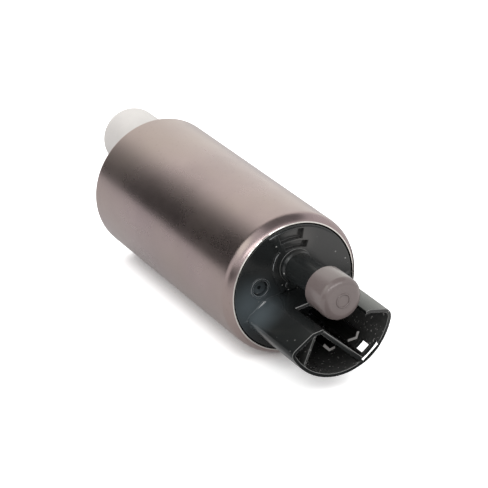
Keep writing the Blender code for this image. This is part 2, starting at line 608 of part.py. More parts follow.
def make_outlet_dust_cap():
    centre = (0.0, NIPPLE_OFFSET)
    edge = (OUTLET_CAP_TIP - OUTLET_CAP_EDGE, OUTLET_CAP_RADIUS - OUTLET_CAP_EDGE)
    inner_edge = OUTLET_CAP_EDGE - OUTLET_CAP_WALL
    profile = [(OUTLET_CAP_TIP - OUTLET_CAP_WALL, 0.0)]
    profile += arc(edge, inner_edge, 0.0, math.pi / 2, 3)
    profile += [(OUTLET_CAP_RIM, OUTLET_CAP_BORE), (OUTLET_CAP_RIM, OUTLET_CAP_RADIUS)]
    profile += arc(edge, OUTLET_CAP_EDGE, math.pi / 2, 0.0, 5)
    mark = CAP_MARK_HEIGHT
    profile += [(OUTLET_CAP_TIP, CAP_MARK_RADIUS + mark), (OUTLET_CAP_TIP + mark, CAP_MARK_RADIUS),
                (OUTLET_CAP_TIP + mark, CAP_MARK_RADIUS - mark), (OUTLET_CAP_TIP, CAP_MARK_RADIUS - 2 * mark),
                (OUTLET_CAP_TIP, 0.0)]
    return turned("outlet_dust_cap", profile, centre, 40)


def make_inlet_dust_cap():
    centre = (0.0, INLET_OFFSET)
    outer = (INLET_CAP_TIP + INLET_CAP_EDGE, INLET_CAP_RADIUS - INLET_CAP_EDGE)
    inner_edge = INLET_CAP_EDGE - INLET_CAP_WALL
    flange = INLET_CAP_RADIUS + INLET_CAP_FLANGE
    profile = [(INLET_CAP_TIP + INLET_CAP_WALL, 0.0)]
    profile += arc(outer, inner_edge, math.pi, math.pi / 2, 4)
    profile += [(INLET_CAP_RIM, INLET_CAP_BORE), (INLET_CAP_RIM, flange),
                (INLET_CAP_RIM - INLET_CAP_WALL, flange),
                (INLET_CAP_RIM - INLET_CAP_WALL - INLET_CAP_FLANGE, INLET_CAP_RADIUS)]
    profile += arc(outer, INLET_CAP_EDGE, math.pi / 2, math.pi, 6)
    profile += [(INLET_CAP_TIP, 0.0)]
    return turned("inlet_dust_cap", profile, centre, 40)


def make_inlet_body():
    groove_width, groove_depth = SEAL_GROOVE
    groove = INLET_FLANGE_FACE + INLET_PLATE / 2
    boss = SHELL_RADIUS - INLET_LIP - SEAT_GAP
    near, far = groove - groove_width / 2, groove + groove_width / 2
    profile = [(INLET_BOSS_FACE, 0.0), (INLET_BOSS_FACE, boss), (INLET_FLANGE_FACE, boss),
               (INLET_FLANGE_FACE, INNER_RADIUS - SEAT_GAP), (INLET_FLANGE_FACE + SEAT_GAP, INNER_RADIUS),
               (near, INNER_RADIUS), (near, INNER_RADIUS - groove_depth),
               (far, INNER_RADIUS - groove_depth), (far, INNER_RADIUS),
               (INLET_BACK, INNER_RADIUS), (INLET_BACK, 0.0)]
    body = turned("inlet_body", profile, facets=SHELL_FACETS)
    centre = (0.0, INLET_OFFSET)
    lead = INLET_BEAD
    tube = [(INLET_BOSS_FACE + OVERSHOOT, 0.0), (INLET_BOSS_FACE + OVERSHOOT, INLET_TUBE_RADIUS),
            (INLET_TIP + 5 * lead, INLET_TUBE_RADIUS), (INLET_TIP + 4 * lead, INLET_BEAD_RADIUS),
            (INLET_TIP + 3 * lead, INLET_BEAD_RADIUS), (INLET_TIP + lead / 2, INLET_TUBE_RADIUS - lead / 2),
            (INLET_TIP, INLET_BORE + lead / 2), (INLET_TIP, 0.0)]
    join(body, turned("tube", tube, centre, 32))
    bore_end = INLET_FLANGE_FACE + INLET_BORE_FLOOR
    cut(body, round_bar("tube_bore", centre, INLET_BORE, INLET_TIP - OVERSHOOT, bore_end, 28))
    port = arc_slot(PORT_RADIUS, PORT_WIDTH, math.pi / 2, PORT_SPREAD)
    cut(body, extruded("suction_port", port, bore_end - OVERSHOOT, INLET_BACK + OVERSHOOT))
    cut(body, round_bar("bushing_hole", (0.0, 0.0), BUSHING_SEAT, PUMP_BUSHING_START - SEAT_GAP,
                        INLET_BACK + OVERSHOOT, 32))
    cut_dowel_holes(body, INLET_BACK - DOWEL_SEAT - SEAT_GAP, INLET_BACK + OVERSHOOT)
    return body


def cut_dowel_holes(target, start, end):
    for side in (-1, 1):
        cut(target, round_bar("dowel_hole", (0.0, side * DOWEL_CIRCLE), DOWEL_RADIUS + SEAT_GAP,
                              start, end, 16))


def make_dowels():
    start, end = INLET_BACK - DOWEL_SEAT, PLATE_START + DOWEL_SEAT
    chamfer = SEAT_GAP
    profile = [(start, 0.0), (start, DOWEL_RADIUS - chamfer), (start + chamfer, DOWEL_RADIUS),
               (end - chamfer, DOWEL_RADIUS), (end, DOWEL_RADIUS - chamfer), (end, 0.0)]
    lower = turned("dowel_pin_lower", profile, (0.0, -DOWEL_CIRCLE), 16)
    upper = turned("dowel_pin_upper", profile, (0.0, DOWEL_CIRCLE), 16)
    return [lower, upper]


def make_seal_ring():
    middle = INLET_FLANGE_FACE + INLET_PLATE / 2
    section = arc((middle, SHELL_BORE - SEAT_GAP - SEAL_SECTION), SEAL_SECTION, 0.0, math.tau, 8)[:-1]
    return turned("seal_ring", section, facets=40)


def evenly_spaced(points, count):
    """The same closed outline, as count points an equal way apart along it."""
    closed = [Vector(point) for point in points] + [Vector(points[0])]
    travelled = [0.0]
    for before, after in zip(closed, closed[1:]):
        travelled.append(travelled[-1] + (after - before).length)
    spaced, piece = [], 0
    for i in range(count):
        wanted = travelled[-1] * i / count
        while travelled[piece + 1] < wanted:
            piece += 1
        share = (wanted - travelled[piece]) / (travelled[piece + 1] - travelled[piece])
        spaced.append(tuple(closed[piece].lerp(closed[piece + 1], share)))
    return spaced


def inner_rotor_outline():
    """The path of an outer lobe's middle round the inner rotor, moved in by the lobe's radius."""
    count = LOBES * 120
    outline = []
    for i in range(count):
        a = math.tau * i / count
        b = (LOBES + 1) * a
        path = Vector(polar(LOBE_CIRCLE, a)) + Vector(polar(ECCENTRICITY, b))
        ahead = Vector(polar(LOBE_CIRCLE, a)) + Vector(polar((LOBES + 1) * ECCENTRICITY, b))
        slope = Vector((-ahead.y, ahead.x))
        inward = Vector((-slope.y, slope.x)).normalized()
        outline.append(tuple(path + inward * (LOBE_RADIUS + RUN_GAP)))
    return evenly_spaced(outline, LOBES * 12)


def outer_rotor_cavity():
    """A root circle with one round lobe standing in for each of LOBES + 1 teeth."""
    root = LOBE_CIRCLE + 2 * ECCENTRICITY - LOBE_RADIUS + RUN_GAP
    reach = (root ** 2 - LOBE_CIRCLE ** 2 - LOBE_RADIUS ** 2) / (2 * LOBE_CIRCLE * LOBE_RADIUS)
    turn = math.acos(max(-1.0, min(1.0, reach)))
    outline = []
    for k in range(LOBES + 1):
        angle = math.tau * k / (LOBES + 1)
        lobe = polar(LOBE_CIRCLE, angle)
        points = arc(lobe, LOBE_RADIUS, angle - turn, angle - math.tau + turn, 10)
        outline += [(ECCENTRICITY + y, z) for y, z in points]
        start = math.atan2(points[-1][1], points[-1][0])
        next_angle = math.tau * (k + 1) / (LOBES + 1)
        first = polar(LOBE_CIRCLE, next_angle)
        target = (first[0] + LOBE_RADIUS * math.cos(next_angle - turn),
                  first[1] + LOBE_RADIUS * math.sin(next_angle - turn))
        end = math.atan2(target[1], target[0])
        if end < start:
            end += math.tau
        outline += [(ECCENTRICITY + y, z) for y, z in arc((0.0, 0.0), root, start, end, 3)[1:-1]]
    return outline


def make_rotors():
    start = RING_START + RUN_GAP
    end = start + ROTOR_WIDTH
    inner = extruded("inner_rotor", inner_rotor_outline(), start, end)
    cut(inner, round_bar("rotor_bore", (0.0, 0.0), SHAFT_BORE, start - OVERSHOOT, end + OVERSHOOT, 24))
    width, reach = COUPLER_TANG
    slot = box_outline((0.0, 0.0), (2 * COUPLER_RADIUS + 2 * RUN_GAP, width + 2 * RUN_GAP))
    cut(inner, extruded("tang_slot", slot, end - reach - SEAT_GAP, end + OVERSHOOT))
    outer = round_bar("outer_rotor", OUTER_CENTRE, OUTER_ROTOR_RADIUS, start, end, 64)
    cut(outer, extruded("rotor_cavity", outer_rotor_cavity(), start - OVERSHOOT, end + OVERSHOOT))
    return inner, outer


def make_gear_ring():
    body = round_bar("gear_ring", (0.0, 0.0), INNER_RADIUS, RING_START, RING_END, SHELL_FACETS)
    cut(body, round_bar("ring_cavity", OUTER_CENTRE, OUTER_ROTOR_RADIUS + RUN_GAP, RING_START - OVERSHOOT,
                        RING_END + OVERSHOOT, 64))
    cut_dowel_holes(body, RING_START - OVERSHOOT, RING_END + OVERSHOOT)
    return body


def make_discharge_plate():
    body = ring("discharge_plate", COUPLER_RADIUS + SEAT_GAP, INNER_RADIUS, PLATE_START, PLATE_END,
                facets=SHELL_FACETS)
    port = arc_slot(PORT_RADIUS, PORT_WIDTH, -math.pi / 2, PORT_SPREAD)
    cut(body, extruded("discharge_port", port, PLATE_START - OVERSHOOT, PLATE_END + OVERSHOOT))
    cut_dowel_holes(body, PLATE_START - OVERSHOOT, PLATE_START + DOWEL_SEAT + SEAT_GAP)
    return body


def make_coupler():
    width, reach = COUPLER_TANG
    start, end = PLATE_START, PLATE_END - SEAT_GAP
    tang_start = RING_START + RUN_GAP + ROTOR_WIDTH - reach
    body = round_bar("drive_coupler", (0.0, 0.0), COUPLER_RADIUS, start, end, 32)
    bar = box_outline((0.0, 0.0), (2 * COUPLER_RADIUS - 2 * RUN_GAP, width))
    join(body, extruded("tangs", bar, tang_start, start + OVERSHOOT))
    cut(body, round_bar("tang_gap", (0.0, 0.0), SHAFT_BORE + RUN_GAP, tang_start - OVERSHOOT, start, 24))
    flats = round_bar("flats", (0.0, 0.0), SHAFT_BORE, start - OVERSHOOT, end + OVERSHOOT, 24)
    limit = box_outline((0.0, 0.0), (4 * SHAFT_RADIUS, 2 * SHAFT_FLAT + 2 * RUN_GAP))
    keep_inside(flats, extruded("flat_limit", limit, start - 2 * OVERSHOOT, end + 2 * OVERSHOOT))
    return cut(body, flats)


def make_shaft():
    collar = FIRST_WASHER + WASHER_THICKNESS + SEAT_GAP
    profile = [(SHAFT_PUMP_TIP, 0.0), (SHAFT_PUMP_TIP, SHAFT_RADIUS - SEAT_GAP),
               (SHAFT_PUMP_TIP + SEAT_GAP, SHAFT_RADIUS), (collar, SHAFT_RADIUS),
               (collar, SHAFT_COLLAR), (CORE_START - SEAT_GAP, SHAFT_COLLAR),
               (CORE_START - SEAT_GAP, SHAFT_RADIUS), (CORE_END + SEAT_GAP, SHAFT_RADIUS),
               (CORE_END + SEAT_GAP, SHAFT_COLLAR), (COMMUTATOR_BACK - SEAT_GAP, SHAFT_COLLAR),
               (COMMUTATOR_BACK - SEAT_GAP, SHAFT_RADIUS), (SHAFT_OUTLET_TIP - SEAT_GAP, SHAFT_RADIUS),
               (SHAFT_OUTLET_TIP, SHAFT_RADIUS - SEAT_GAP), (SHAFT_OUTLET_TIP, 0.0)]
    shaft = turned("armature_shaft", profile, facets=24)
    for side in (-1, 1):
        block = box_outline((0.0, side * (SHAFT_FLAT + SHAFT_RADIUS)), (4 * SHAFT_RADIUS, 2 * SHAFT_RADIUS))
        cut(shaft, extruded("flat", block, RING_END, PLATE_END))
    return shaft


def pocket_half_width(radius):
    return radius * math.sin(math.pi / SLOTS) - TOOTH_WIDTH / 2


def make_core():
    pocket = CORE_RADIUS - POLE_TIP
    inner_half, outer_half = pocket_half_width(SLOT_FLOOR), pocket_half_width(pocket)
    opening = SLOT_OPENING / 2
    gap_angle = math.asin(opening / CORE_RADIUS)
    corners = [(pocket, -opening), (pocket, -outer_half), (SLOT_FLOOR, -inner_half),
               (SLOT_FLOOR, inner_half), (pocket, outer_half), (pocket, opening)]
    outline = []
    for k in range(SLOTS):
        angle = math.tau * k / SLOTS
        turn = Matrix.Rotation(angle, 2)
        outline += [tuple(turn @ Vector(corner)) for corner in corners]
        outline += arc((0.0, 0.0), CORE_RADIUS, angle + gap_angle, angle + math.tau / SLOTS - gap_angle, 4)
    core = extruded("armature_core", outline, CORE_START, CORE_END)
    return cut(core, round_bar("core_bore", (0.0, 0.0), SHAFT_BORE, CORE_START - OVERSHOOT,
                               CORE_END + OVERSHOOT, 24))


def end_turn_profile(start, end):
    """A coil bundle in section: flat on its inside, full and round on its outside."""
    inner, outer = SLOT_FLOOR - POLE_TIP, CORE_RADIUS - 2 * POLE_TIP
    bulge = (end - start) / 2
    profile = [(start, inner), (start, outer - bulge)]
    profile += arc((start + bulge, outer - bulge), bulge, math.pi, 0.0, 6)[1:-1]
    return profile + [(end, outer - bulge), (end, inner)]


def make_windings():
    coils = turned("armature_windings", end_turn_profile(WINDING_START, WINDING_START + END_TURN), facets=32)
    join(coils, make_slot_bars())
    return join(coils, turned("far_turns", end_turn_profile(WINDING_END - END_TURN, WINDING_END), facets=32))


def make_slot_bars():
    bm = bmesh.new()
    inner, outer = SLOT_FLOOR + SEAT_GAP, CORE_RADIUS - 2 * POLE_TIP - SEAT_GAP
    near, far = pocket_half_width(inner) - SEAT_GAP, pocket_half_width(outer) - SEAT_GAP
    start, end = WINDING_START + END_TURN / 2, WINDING_END - END_TURN / 2
    section = ((inner, -near), (outer, -far), (outer, far), (inner, near))
    for k in range(SLOTS):
        turn = Matrix.Rotation(math.tau * k / SLOTS, 2)
        corners = [turn @ Vector(corner) for corner in section]
        face = bm.faces.new([bm.verts.new((start, corner.x, corner.y)) for corner in corners])
        pushed = bmesh.ops.extrude_face_region(bm, geom=[face])
        moved = [item for item in pushed["geom"] if isinstance(item, bmesh.types.BMVert)]
        bmesh.ops.translate(bm, verts=moved, vec=(end - start, 0.0, 0.0))
    return make_object(bm, "slot_bars")


def make_commutator():
    body = ring("commutator", SHAFT_BORE, COMMUTATOR_RADIUS, COMMUTATOR_BACK, COMMUTATOR_FACE, facets=48)
    width, depth = COMMUTATOR_SLIT
    bm = bmesh.new()
    start = SHAFT_BORE + 3 * SEAT_GAP
    length = COMMUTATOR_RADIUS - start + OVERSHOOT
    for k in range(SLOTS):
        angle = math.tau * (k + 0.5) / SLOTS
        outline = box_outline(polar(start + length / 2, angle), (length, width), angle)
        face = bm.faces.new([bm.verts.new((COMMUTATOR_FACE - depth, y, z)) for y, z in outline])
        pushed = bmesh.ops.extrude_face_region(bm, geom=[face])
        moved = [item for item in pushed["geom"] if isinstance(item, bmesh.types.BMVert)]
        bmesh.ops.translate(bm, verts=moved, vec=(depth + OVERSHOOT, 0.0, 0.0))
    return cut(body, make_object(bm, "slits"))


def make_bearings():
    bore = SHAFT_RADIUS + RUN_GAP
    pump = ring("pump_bushing", bore, BUSHING_RADIUS, PUMP_BUSHING_START, PUMP_BUSHING_END, facets=32)
    outlet = ring("outlet_bushing", bore, BUSHING_RADIUS, OUTLET_BUSHING_START,
                  OUTLET_BUSHING_START + BUSHING_LENGTH, facets=32)
    first = ring("thrust_washer_pump", SHAFT_BORE, WASHER_RADIUS, FIRST_WASHER,
                 FIRST_WASHER + WASHER_THICKNESS)
    second = ring("thrust_washer_outlet", SHAFT_BORE, WASHER_RADIUS, COMMUTATOR_FACE + SEAT_GAP,
                  COMMUTATOR_FACE + SEAT_GAP + WASHER_THICKNESS)
    return [pump, outlet], [first, second]


def sector(inner, outer, middle, spread, steps):
    outline = arc((0.0, 0.0), outer, middle - spread, middle + spread, steps)
    return outline + arc((0.0, 0.0), inner, middle + spread, middle - spread, steps)


def make_field():
    flux = ring("flux_ring", FLUX_BORE, INNER_RADIUS, FLUX_START, FLUX_END, facets=48)
    start, end = FLUX_START + MAGNET_END_SPACE, FLUX_END - MAGNET_END_SPACE
    magnets = [extruded(name, sector(MAGNET_INNER, MAGNET_OUTER, middle, MAGNET_SPREAD, 14), start, end)
               for name, middle in (("magnet_right", 0.0), ("magnet_left", math.pi))]
    return flux, magnets


def make_clips():
    made = []
    start, end = FLUX_START + 2 * MAGNET_END_SPACE, FLUX_END - 2 * MAGNET_END_SPACE
    outer = MAGNET_OUTER
    inner = outer - CLIP_THICKNESS
    foot = outer - CLIP_LEG
    leg = CLIP_THICKNESS / foot
    for name, middle in (("magnet_clip_upper", math.pi / 2), ("magnet_clip_lower", -math.pi / 2)):
        first, last = middle - CLIP_SPREAD, middle + CLIP_SPREAD
        outline = arc((0.0, 0.0), outer, first, last, 6)
        outline += [polar(foot, last), polar(foot, last - leg)]
        outline += arc((0.0, 0.0), inner, last - leg, first + leg, 6)
        outline += [polar(foot, first + leg), polar(foot, first)]
        made.append(extruded(name, outline, start, end))
    return made


def make_brushes():
    made = []
    for name, turn in (("brush_right", 0.0), ("brush_left", math.pi)):
        outline = box_outline(brush_centre(turn), BRUSH_SECTION, BRUSH_ANGLE)
        made.append(extruded(name, outline, BRUSH_FACE, BRUSH_FACE + BRUSH_LENGTH))
    return made


def make_spring(name, centre, radius, start, end, turns):
    """A round wire wound along X, as a curve with a round bevel and filled ends."""
    curve = bpy.data.curves.new(name, "CURVE")
    curve.dimensions = "3D"
    curve.bevel_depth = SPRING_WIRE
    curve.bevel_resolution = 0
    curve.use_fill_caps = True
    steps = 9 * turns
    line = curve.splines.new("POLY")
    line.points.add(steps)
    first, last = start + SPRING_WIRE, end - SPRING_WIRE
    for step in range(steps + 1):
        y, z = polar(radius - SPRING_WIRE, math.tau * turns * step / steps)
        x = first + (last - first) * step / steps
        line.points[step].co = (x, centre[0] + y, centre[1] + z, 1.0)
    item = bpy.data.objects.new(name, curve)
    bpy.context.collection.objects.link(item)
    return item


def make_springs():
    brush_back = BRUSH_FACE + BRUSH_LENGTH + SEAT_GAP
    radius = BRUSH_SECTION[1] / 2
    made = [make_spring(name, brush_centre(turn), radius, brush_back, BRUSH_POCKET_END - SEAT_GAP, 5)
            for name, turn in (("brush_spring_right", 0.0), ("brush_spring_left", math.pi))]
    head = CHECK_CHAMBER + SEAT_GAP + POPPET_HEAD_THICKNESS
    made.append(make_spring("check_valve_spring", (0.0, NIPPLE_OFFSET), POPPET_HEAD - SEAT_GAP,
                            head + SEAT_GAP, head + SEAT_GAP + CHECK_SPRING_LENGTH, 4))
    ball_back = CAP_BACK + RELIEF_RIM_WIDTH + SEAT_GAP + 2 * RELIEF_BALL
    made.append(make_spring("relief_valve_spring", RELIEF_PORT, RELIEF_PORT_RADIUS - SEAT_GAP,
                            ball_back + SEAT_GAP, CAP_FACE - RELIEF_PLUG_SINK - RELIEF_PLUG - SEAT_GAP, 3))
    return made


def make_chokes():
    made = []
    start, end = SKIRT_END + 4 * SEAT_GAP, CAP_BACK - SEAT_GAP
    inner = CHOKE_PEG_RADIUS + SEAT_GAP
    pitch = (end - start) / CHOKE_TURNS
    for name, peg in (("choke_left", CHOKE_LEFT), ("choke_right", CHOKE_RIGHT)):
        profile = [(start, inner)]
        for turn in range(CHOKE_TURNS):
            first = start + turn * pitch
            profile += [(first, inner + CHOKE_WIRE * 0.7), (first + pitch / 2, inner + CHOKE_WIRE)]
        profile += [(end, inner + CHOKE_WIRE * 0.7), (end, inner)]
        made.append(turned(name, profile, peg, 12))
    return made


def make_valves():
    centre = (0.0, NIPPLE_OFFSET)
    seat = CHECK_CHAMBER + SEAT_GAP
    head = seat + POPPET_HEAD_THICKNESS
    spring_end = head + SEAT_GAP + CHECK_SPRING_LENGTH
    guide_start = spring_end + SEAT_GAP
    stem_end = guide_start + CHECK_GUIDE - SEAT_GAP
    profile = [(seat, 0.0), (seat, POPPET_HEAD - SEAT_GAP), (seat + SEAT_GAP, POPPET_HEAD),
               (head, POPPET_HEAD), (head, POPPET_STEM), (stem_end, POPPET_STEM), (stem_end, 0.0)]
    poppet = turned("check_valve_poppet", profile, centre, 24)
    guide = ring("check_valve_guide", POPPET_STEM + SEAT_GAP, NIPPLE_BORE - SEAT_GAP, guide_start,
                 guide_start + CHECK_GUIDE, centre, 24)
    for angle in (0.0, math.tau / 3, 2 * math.tau / 3):
        flow = polar((POPPET_STEM + NIPPLE_BORE) / 2, angle)
        cut(guide, round_bar("flow_hole", (flow[0], flow[1] + NIPPLE_OFFSET), POPPET_STEM / 2 + RUN_GAP,
                             guide_start - OVERSHOOT, guide_start + CHECK_GUIDE + OVERSHOOT, 10))
    ball_middle = CAP_BACK + RELIEF_RIM_WIDTH + SEAT_GAP + RELIEF_BALL
    ball_profile = arc((ball_middle, 0.0), RELIEF_BALL, math.pi, 0.0, 8)
    ball = turned("relief_valve_ball", ball_profile, RELIEF_PORT, 16)
    plug_face = CAP_FACE - RELIEF_PLUG_SINK
    plug = ring("relief_valve_plug", RELIEF_VENT, RELIEF_PORT_RADIUS - SEAT_GAP,
                plug_face - RELIEF_PLUG, plug_face, RELIEF_PORT, 24)
    return [poppet, guide, ball, plug]


def paint(items, material):
    for item in items if isinstance(items, (list, tuple)) else [items]:
        item.data.materials.clear()
        item.data.materials.append(material)


def move_origin(item, pivot):
    """Put a moving piece's origin on its joint's axis without moving its shape."""
    item.data.transform(Matrix.Translation(-Vector(pivot)))
    item.matrix_world = Matrix.Translation(pivot)


def build():
    clear_scene()
    steel = make_material("body_steel", (0.56, 0.51, 0.49), 0.32, 0.9)
    black = make_material("black_moulding", (0.02, 0.02, 0.022), 0.38)
    cap_grey = make_material("outlet_cap_grey", (0.34, 0.28, 0.27), 0.45)
    cap_white = make_material("inlet_cap_white", (0.8, 0.78, 0.76), 0.5, 0.0, 0.75)
    tin = make_material("tinned_strip", (0.45, 0.44, 0.42), 0.35, 0.9)
    alloy = make_material("gear_ring_alloy", (0.6, 0.6, 0.6), 0.45, 0.9)
    sintered = make_material("sintered_iron", (0.25, 0.24, 0.23), 0.5, 0.8)
    hard_steel = make_material("hard_steel", (0.5, 0.5, 0.5), 0.25, 1.0)
    ferrite = make_material("ferrite", (0.08, 0.08, 0.085), 0.6)
    lamination = make_material("lamination_steel", (0.35, 0.34, 0.33), 0.45, 0.8)
    copper = make_material("copper_wire", (0.55, 0.22, 0.09), 0.35, 0.9)
    carbon = make_material("carbon", (0.05, 0.05, 0.05), 0.6)
    bronze = make_material("bronze", (0.5, 0.33, 0.14), 0.4, 0.9)
    nylon = make_material("nylon", (0.72, 0.68, 0.58), 0.5)
    rubber = make_material("seal_rubber", (0.03, 0.03, 0.03), 0.7)

    shell = make_shell()
    end_cap = make_outlet_end_cap()
    inlet = make_inlet_body()
    bpy.context.view_layer.update()
    paint(shell, steel)
    paint([end_cap, inlet], black)
    paint(make_terminals(), tin)
    outlet_cap = make_outlet_dust_cap()
    inlet_cap = make_inlet_dust_cap()
    paint(outlet_cap, cap_grey)
    paint(inlet_cap, cap_white)
    inner, outer = make_rotors()
    paint([inner, outer], sintered)
    paint([make_gear_ring(), make_discharge_plate()], alloy)
    coupler = make_coupler()
    shaft = make_shaft()
    core = make_core()
    windings = make_windings()
    commutator = make_commutator()
    paint([shaft] + make_dowels(), hard_steel)
    paint(core, lamination)
    paint([windings] + make_chokes(), copper)
    bushings, washers = make_bearings()
    paint(bushings, bronze)
    paint(washers + [coupler], nylon)
    flux, magnets = make_field()
    paint(flux, lamination)
    paint(magnets, ferrite)
    brushes = make_brushes()
    paint(brushes + [commutator], carbon)
    valves = make_valves()
    poppet, guide, ball, plug = valves
    paint([poppet, guide, plug], nylon)
    paint([ball] + make_clips() + make_springs(), hard_steel)
    paint(make_seal_ring(), rubber)

    for item in bpy.context.collection.objects:
        place = Matrix.Translation((MIDDLE_X, 0.0, AXIS_HEIGHT))
        item.data.transform(place)
        if item.type == "MESH":
            item.data.shade_smooth()
            item.data.set_sharp_from_angle(angle=math.radians(35.0))
    axis_middle = Vector((MIDDLE_X, 0.0, AXIS_HEIGHT))
    for item in (inner, coupler, shaft, core, windings, commutator):
        move_origin(item, axis_middle)
    move_origin(outer, axis_middle + Vector((0.0, ECCENTRICITY, 0.0)))
    for item, turn in zip(brushes, (0.0, math.pi)):
        y, z = brush_centre(turn)
        move_origin(item, axis_middle + Vector((BRUSH_FACE, y, z)))
    move_origin(poppet, axis_middle + Vector((CHECK_CHAMBER, 0.0, NIPPLE_OFFSET)))
    move_origin(ball, axis_middle + Vector((CAP_BACK, *RELIEF_PORT)))
    move_origin(outlet_cap, axis_middle + Vector((OUTLET_CAP_RIM, 0.0, NIPPLE_OFFSET)))
    move_origin(inlet_cap, axis_middle + Vector((INLET_CAP_RIM, 0.0, INLET_OFFSET)))


build()
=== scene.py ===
import math

import bmesh
import bpy
from mathutils import Matrix, Quaternion, Vector


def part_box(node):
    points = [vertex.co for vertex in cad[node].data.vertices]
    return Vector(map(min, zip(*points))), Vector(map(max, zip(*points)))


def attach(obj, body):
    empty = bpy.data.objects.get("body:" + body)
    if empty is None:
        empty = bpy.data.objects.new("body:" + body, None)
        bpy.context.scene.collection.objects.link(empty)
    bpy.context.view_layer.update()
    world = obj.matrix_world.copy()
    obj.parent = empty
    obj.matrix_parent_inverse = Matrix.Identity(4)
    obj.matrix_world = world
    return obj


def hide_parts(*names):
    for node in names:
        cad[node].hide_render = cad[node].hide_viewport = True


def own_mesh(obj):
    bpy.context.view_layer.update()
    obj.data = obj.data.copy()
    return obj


mm = 0.001

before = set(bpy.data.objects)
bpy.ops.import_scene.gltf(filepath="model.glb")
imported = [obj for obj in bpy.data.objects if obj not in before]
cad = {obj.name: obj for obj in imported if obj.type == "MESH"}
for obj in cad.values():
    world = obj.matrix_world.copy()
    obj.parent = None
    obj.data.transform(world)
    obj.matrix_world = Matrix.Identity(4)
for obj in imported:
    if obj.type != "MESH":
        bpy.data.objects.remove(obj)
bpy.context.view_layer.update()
canLow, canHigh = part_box("pump_shell")
canRadius = (canHigh[1] - canLow[1]) / 2
canHalfLength = 39.2 * mm                      # from the middle to where the rolled shoulder would end
canMiddle = Vector((canLow[0] + canHalfLength, 0.0, canLow[2] + canRadius))
print("frame loaded")


def fromInlet(distance):
    # a place along X, counted in millimetres from the inlet end of the can
    return canLow[0] + distance * mm


# Mesh helpers

mergeDistance = 0.001 * mm


def finishPiece(bm, name, sharpAngle=35.0):
    bmesh.ops.remove_doubles(bm, verts=bm.verts, dist=mergeDistance)
    bmesh.ops.recalc_face_normals(bm, faces=bm.faces)
    mesh = bpy.data.meshes.new(name)
    bm.to_mesh(mesh)
    bm.free()
    mesh.shade_smooth()
    mesh.set_sharp_from_angle(angle=math.radians(sharpAngle))
    piece = bpy.data.objects.new(name, mesh)
    bpy.context.collection.objects.link(piece)
    return piece


def arcPoints(centre, radius, start, end, steps):
    angles = [math.radians(start + (end - start) * step / steps) for step in range(steps + 1)]
    return [(centre[0] + radius * math.cos(a), centre[1] + radius * math.sin(a)) for a in angles]


def turnedPiece(name, profile, axisHeight, segments, sharpAngle=35.0):
    # the profile holds (x, radius) points, and its ends meet on the axis or join each other
    bm = bmesh.new()
    verts = [bm.verts.new((x, 0.0, axisHeight + radius)) for x, radius in profile]
    edges = [bm.edges.new(pair) for pair in zip(verts, verts[1:])]
    if profile[0][1] > mergeDistance:
        edges.append(bm.edges.new((verts[-1], verts[0])))
    bmesh.ops.spin(bm, geom=verts + edges, cent=(0.0, 0.0, axisHeight), axis=(1.0, 0.0, 0.0),
                   angle=math.tau, steps=segments, use_merge=True)
    return finishPiece(bm, name, sharpAngle)


# Shader helpers

def feed(tree, value, socket):
    # the value is another node's output or a plain number, vector or colour
    if hasattr(value, "links"):
        tree.links.new(value, socket)
    else:
        socket.default_value = value


def opaque(colour):
    return (*colour, 1.0)


def calculate(tree, operation, first, second=0.0, clamp=False):
    node = tree.nodes.new("ShaderNodeMath")
    node.operation = operation
    node.use_clamp = clamp
    feed(tree, first, node.inputs[0])
    feed(tree, second, node.inputs[1])
    return node.outputs[0]


def rampOf(tree, value, low, high, fromValue=0.0, toValue=1.0):
    node = tree.nodes.new("ShaderNodeMapRange")
    node.inputs["From Min"].default_value = low
    node.inputs["From Max"].default_value = high
    node.inputs["To Min"].default_value = fromValue
    node.inputs["To Max"].default_value = toValue
    tree.links.new(value, node.inputs["Value"])
    return node.outputs["Result"]


def mixColours(tree, factor, first, second, blend="MIX"):
    mix = tree.nodes.new("ShaderNodeMix")
    mix.data_type = "RGBA"
    mix.blend_type = blend
    for socket, value in ((mix.inputs["Factor"], factor), (mix.inputs[6], first), (mix.inputs[7], second)):
        feed(tree, value, socket)
    return mix.outputs[2]


def objectPlace(tree):
    return tree.nodes.new("ShaderNodeTexCoord").outputs["Object"]


def surfaceFacing(tree):
    return tree.nodes.new("ShaderNodeTexCoord").outputs["Normal"]


def partsOf(tree, vector):
    parts = tree.nodes.new("ShaderNodeSeparateXYZ")
    tree.links.new(vector, parts.inputs["Vector"])
    return parts.outputs


def noiseAt(tree, coordinates, noise, scale=None):
    mapping = tree.nodes.new("ShaderNodeMapping")
    mapping.inputs["Scale"].default_value = noise.get("stretch", (1.0, 1.0, 1.0))
    tree.links.new(coordinates, mapping.inputs["Vector"])
    texture = tree.nodes.new("ShaderNodeTexNoise")
    tree.links.new(mapping.outputs["Vector"], texture.inputs["Vector"])
    feed(tree, noise["scale"] if scale is None else scale, texture.inputs["Scale"])
    texture.inputs["Detail"].default_value = noise["detail"]
    texture.inputs["Roughness"].default_value = noise["roughness"]
    return texture.outputs["Fac"]


def patchesAt(tree, coordinates, noise, scale=None):
    return rampOf(tree, noiseAt(tree, coordinates, noise, scale), *noise["between"])


# Shared shader groups

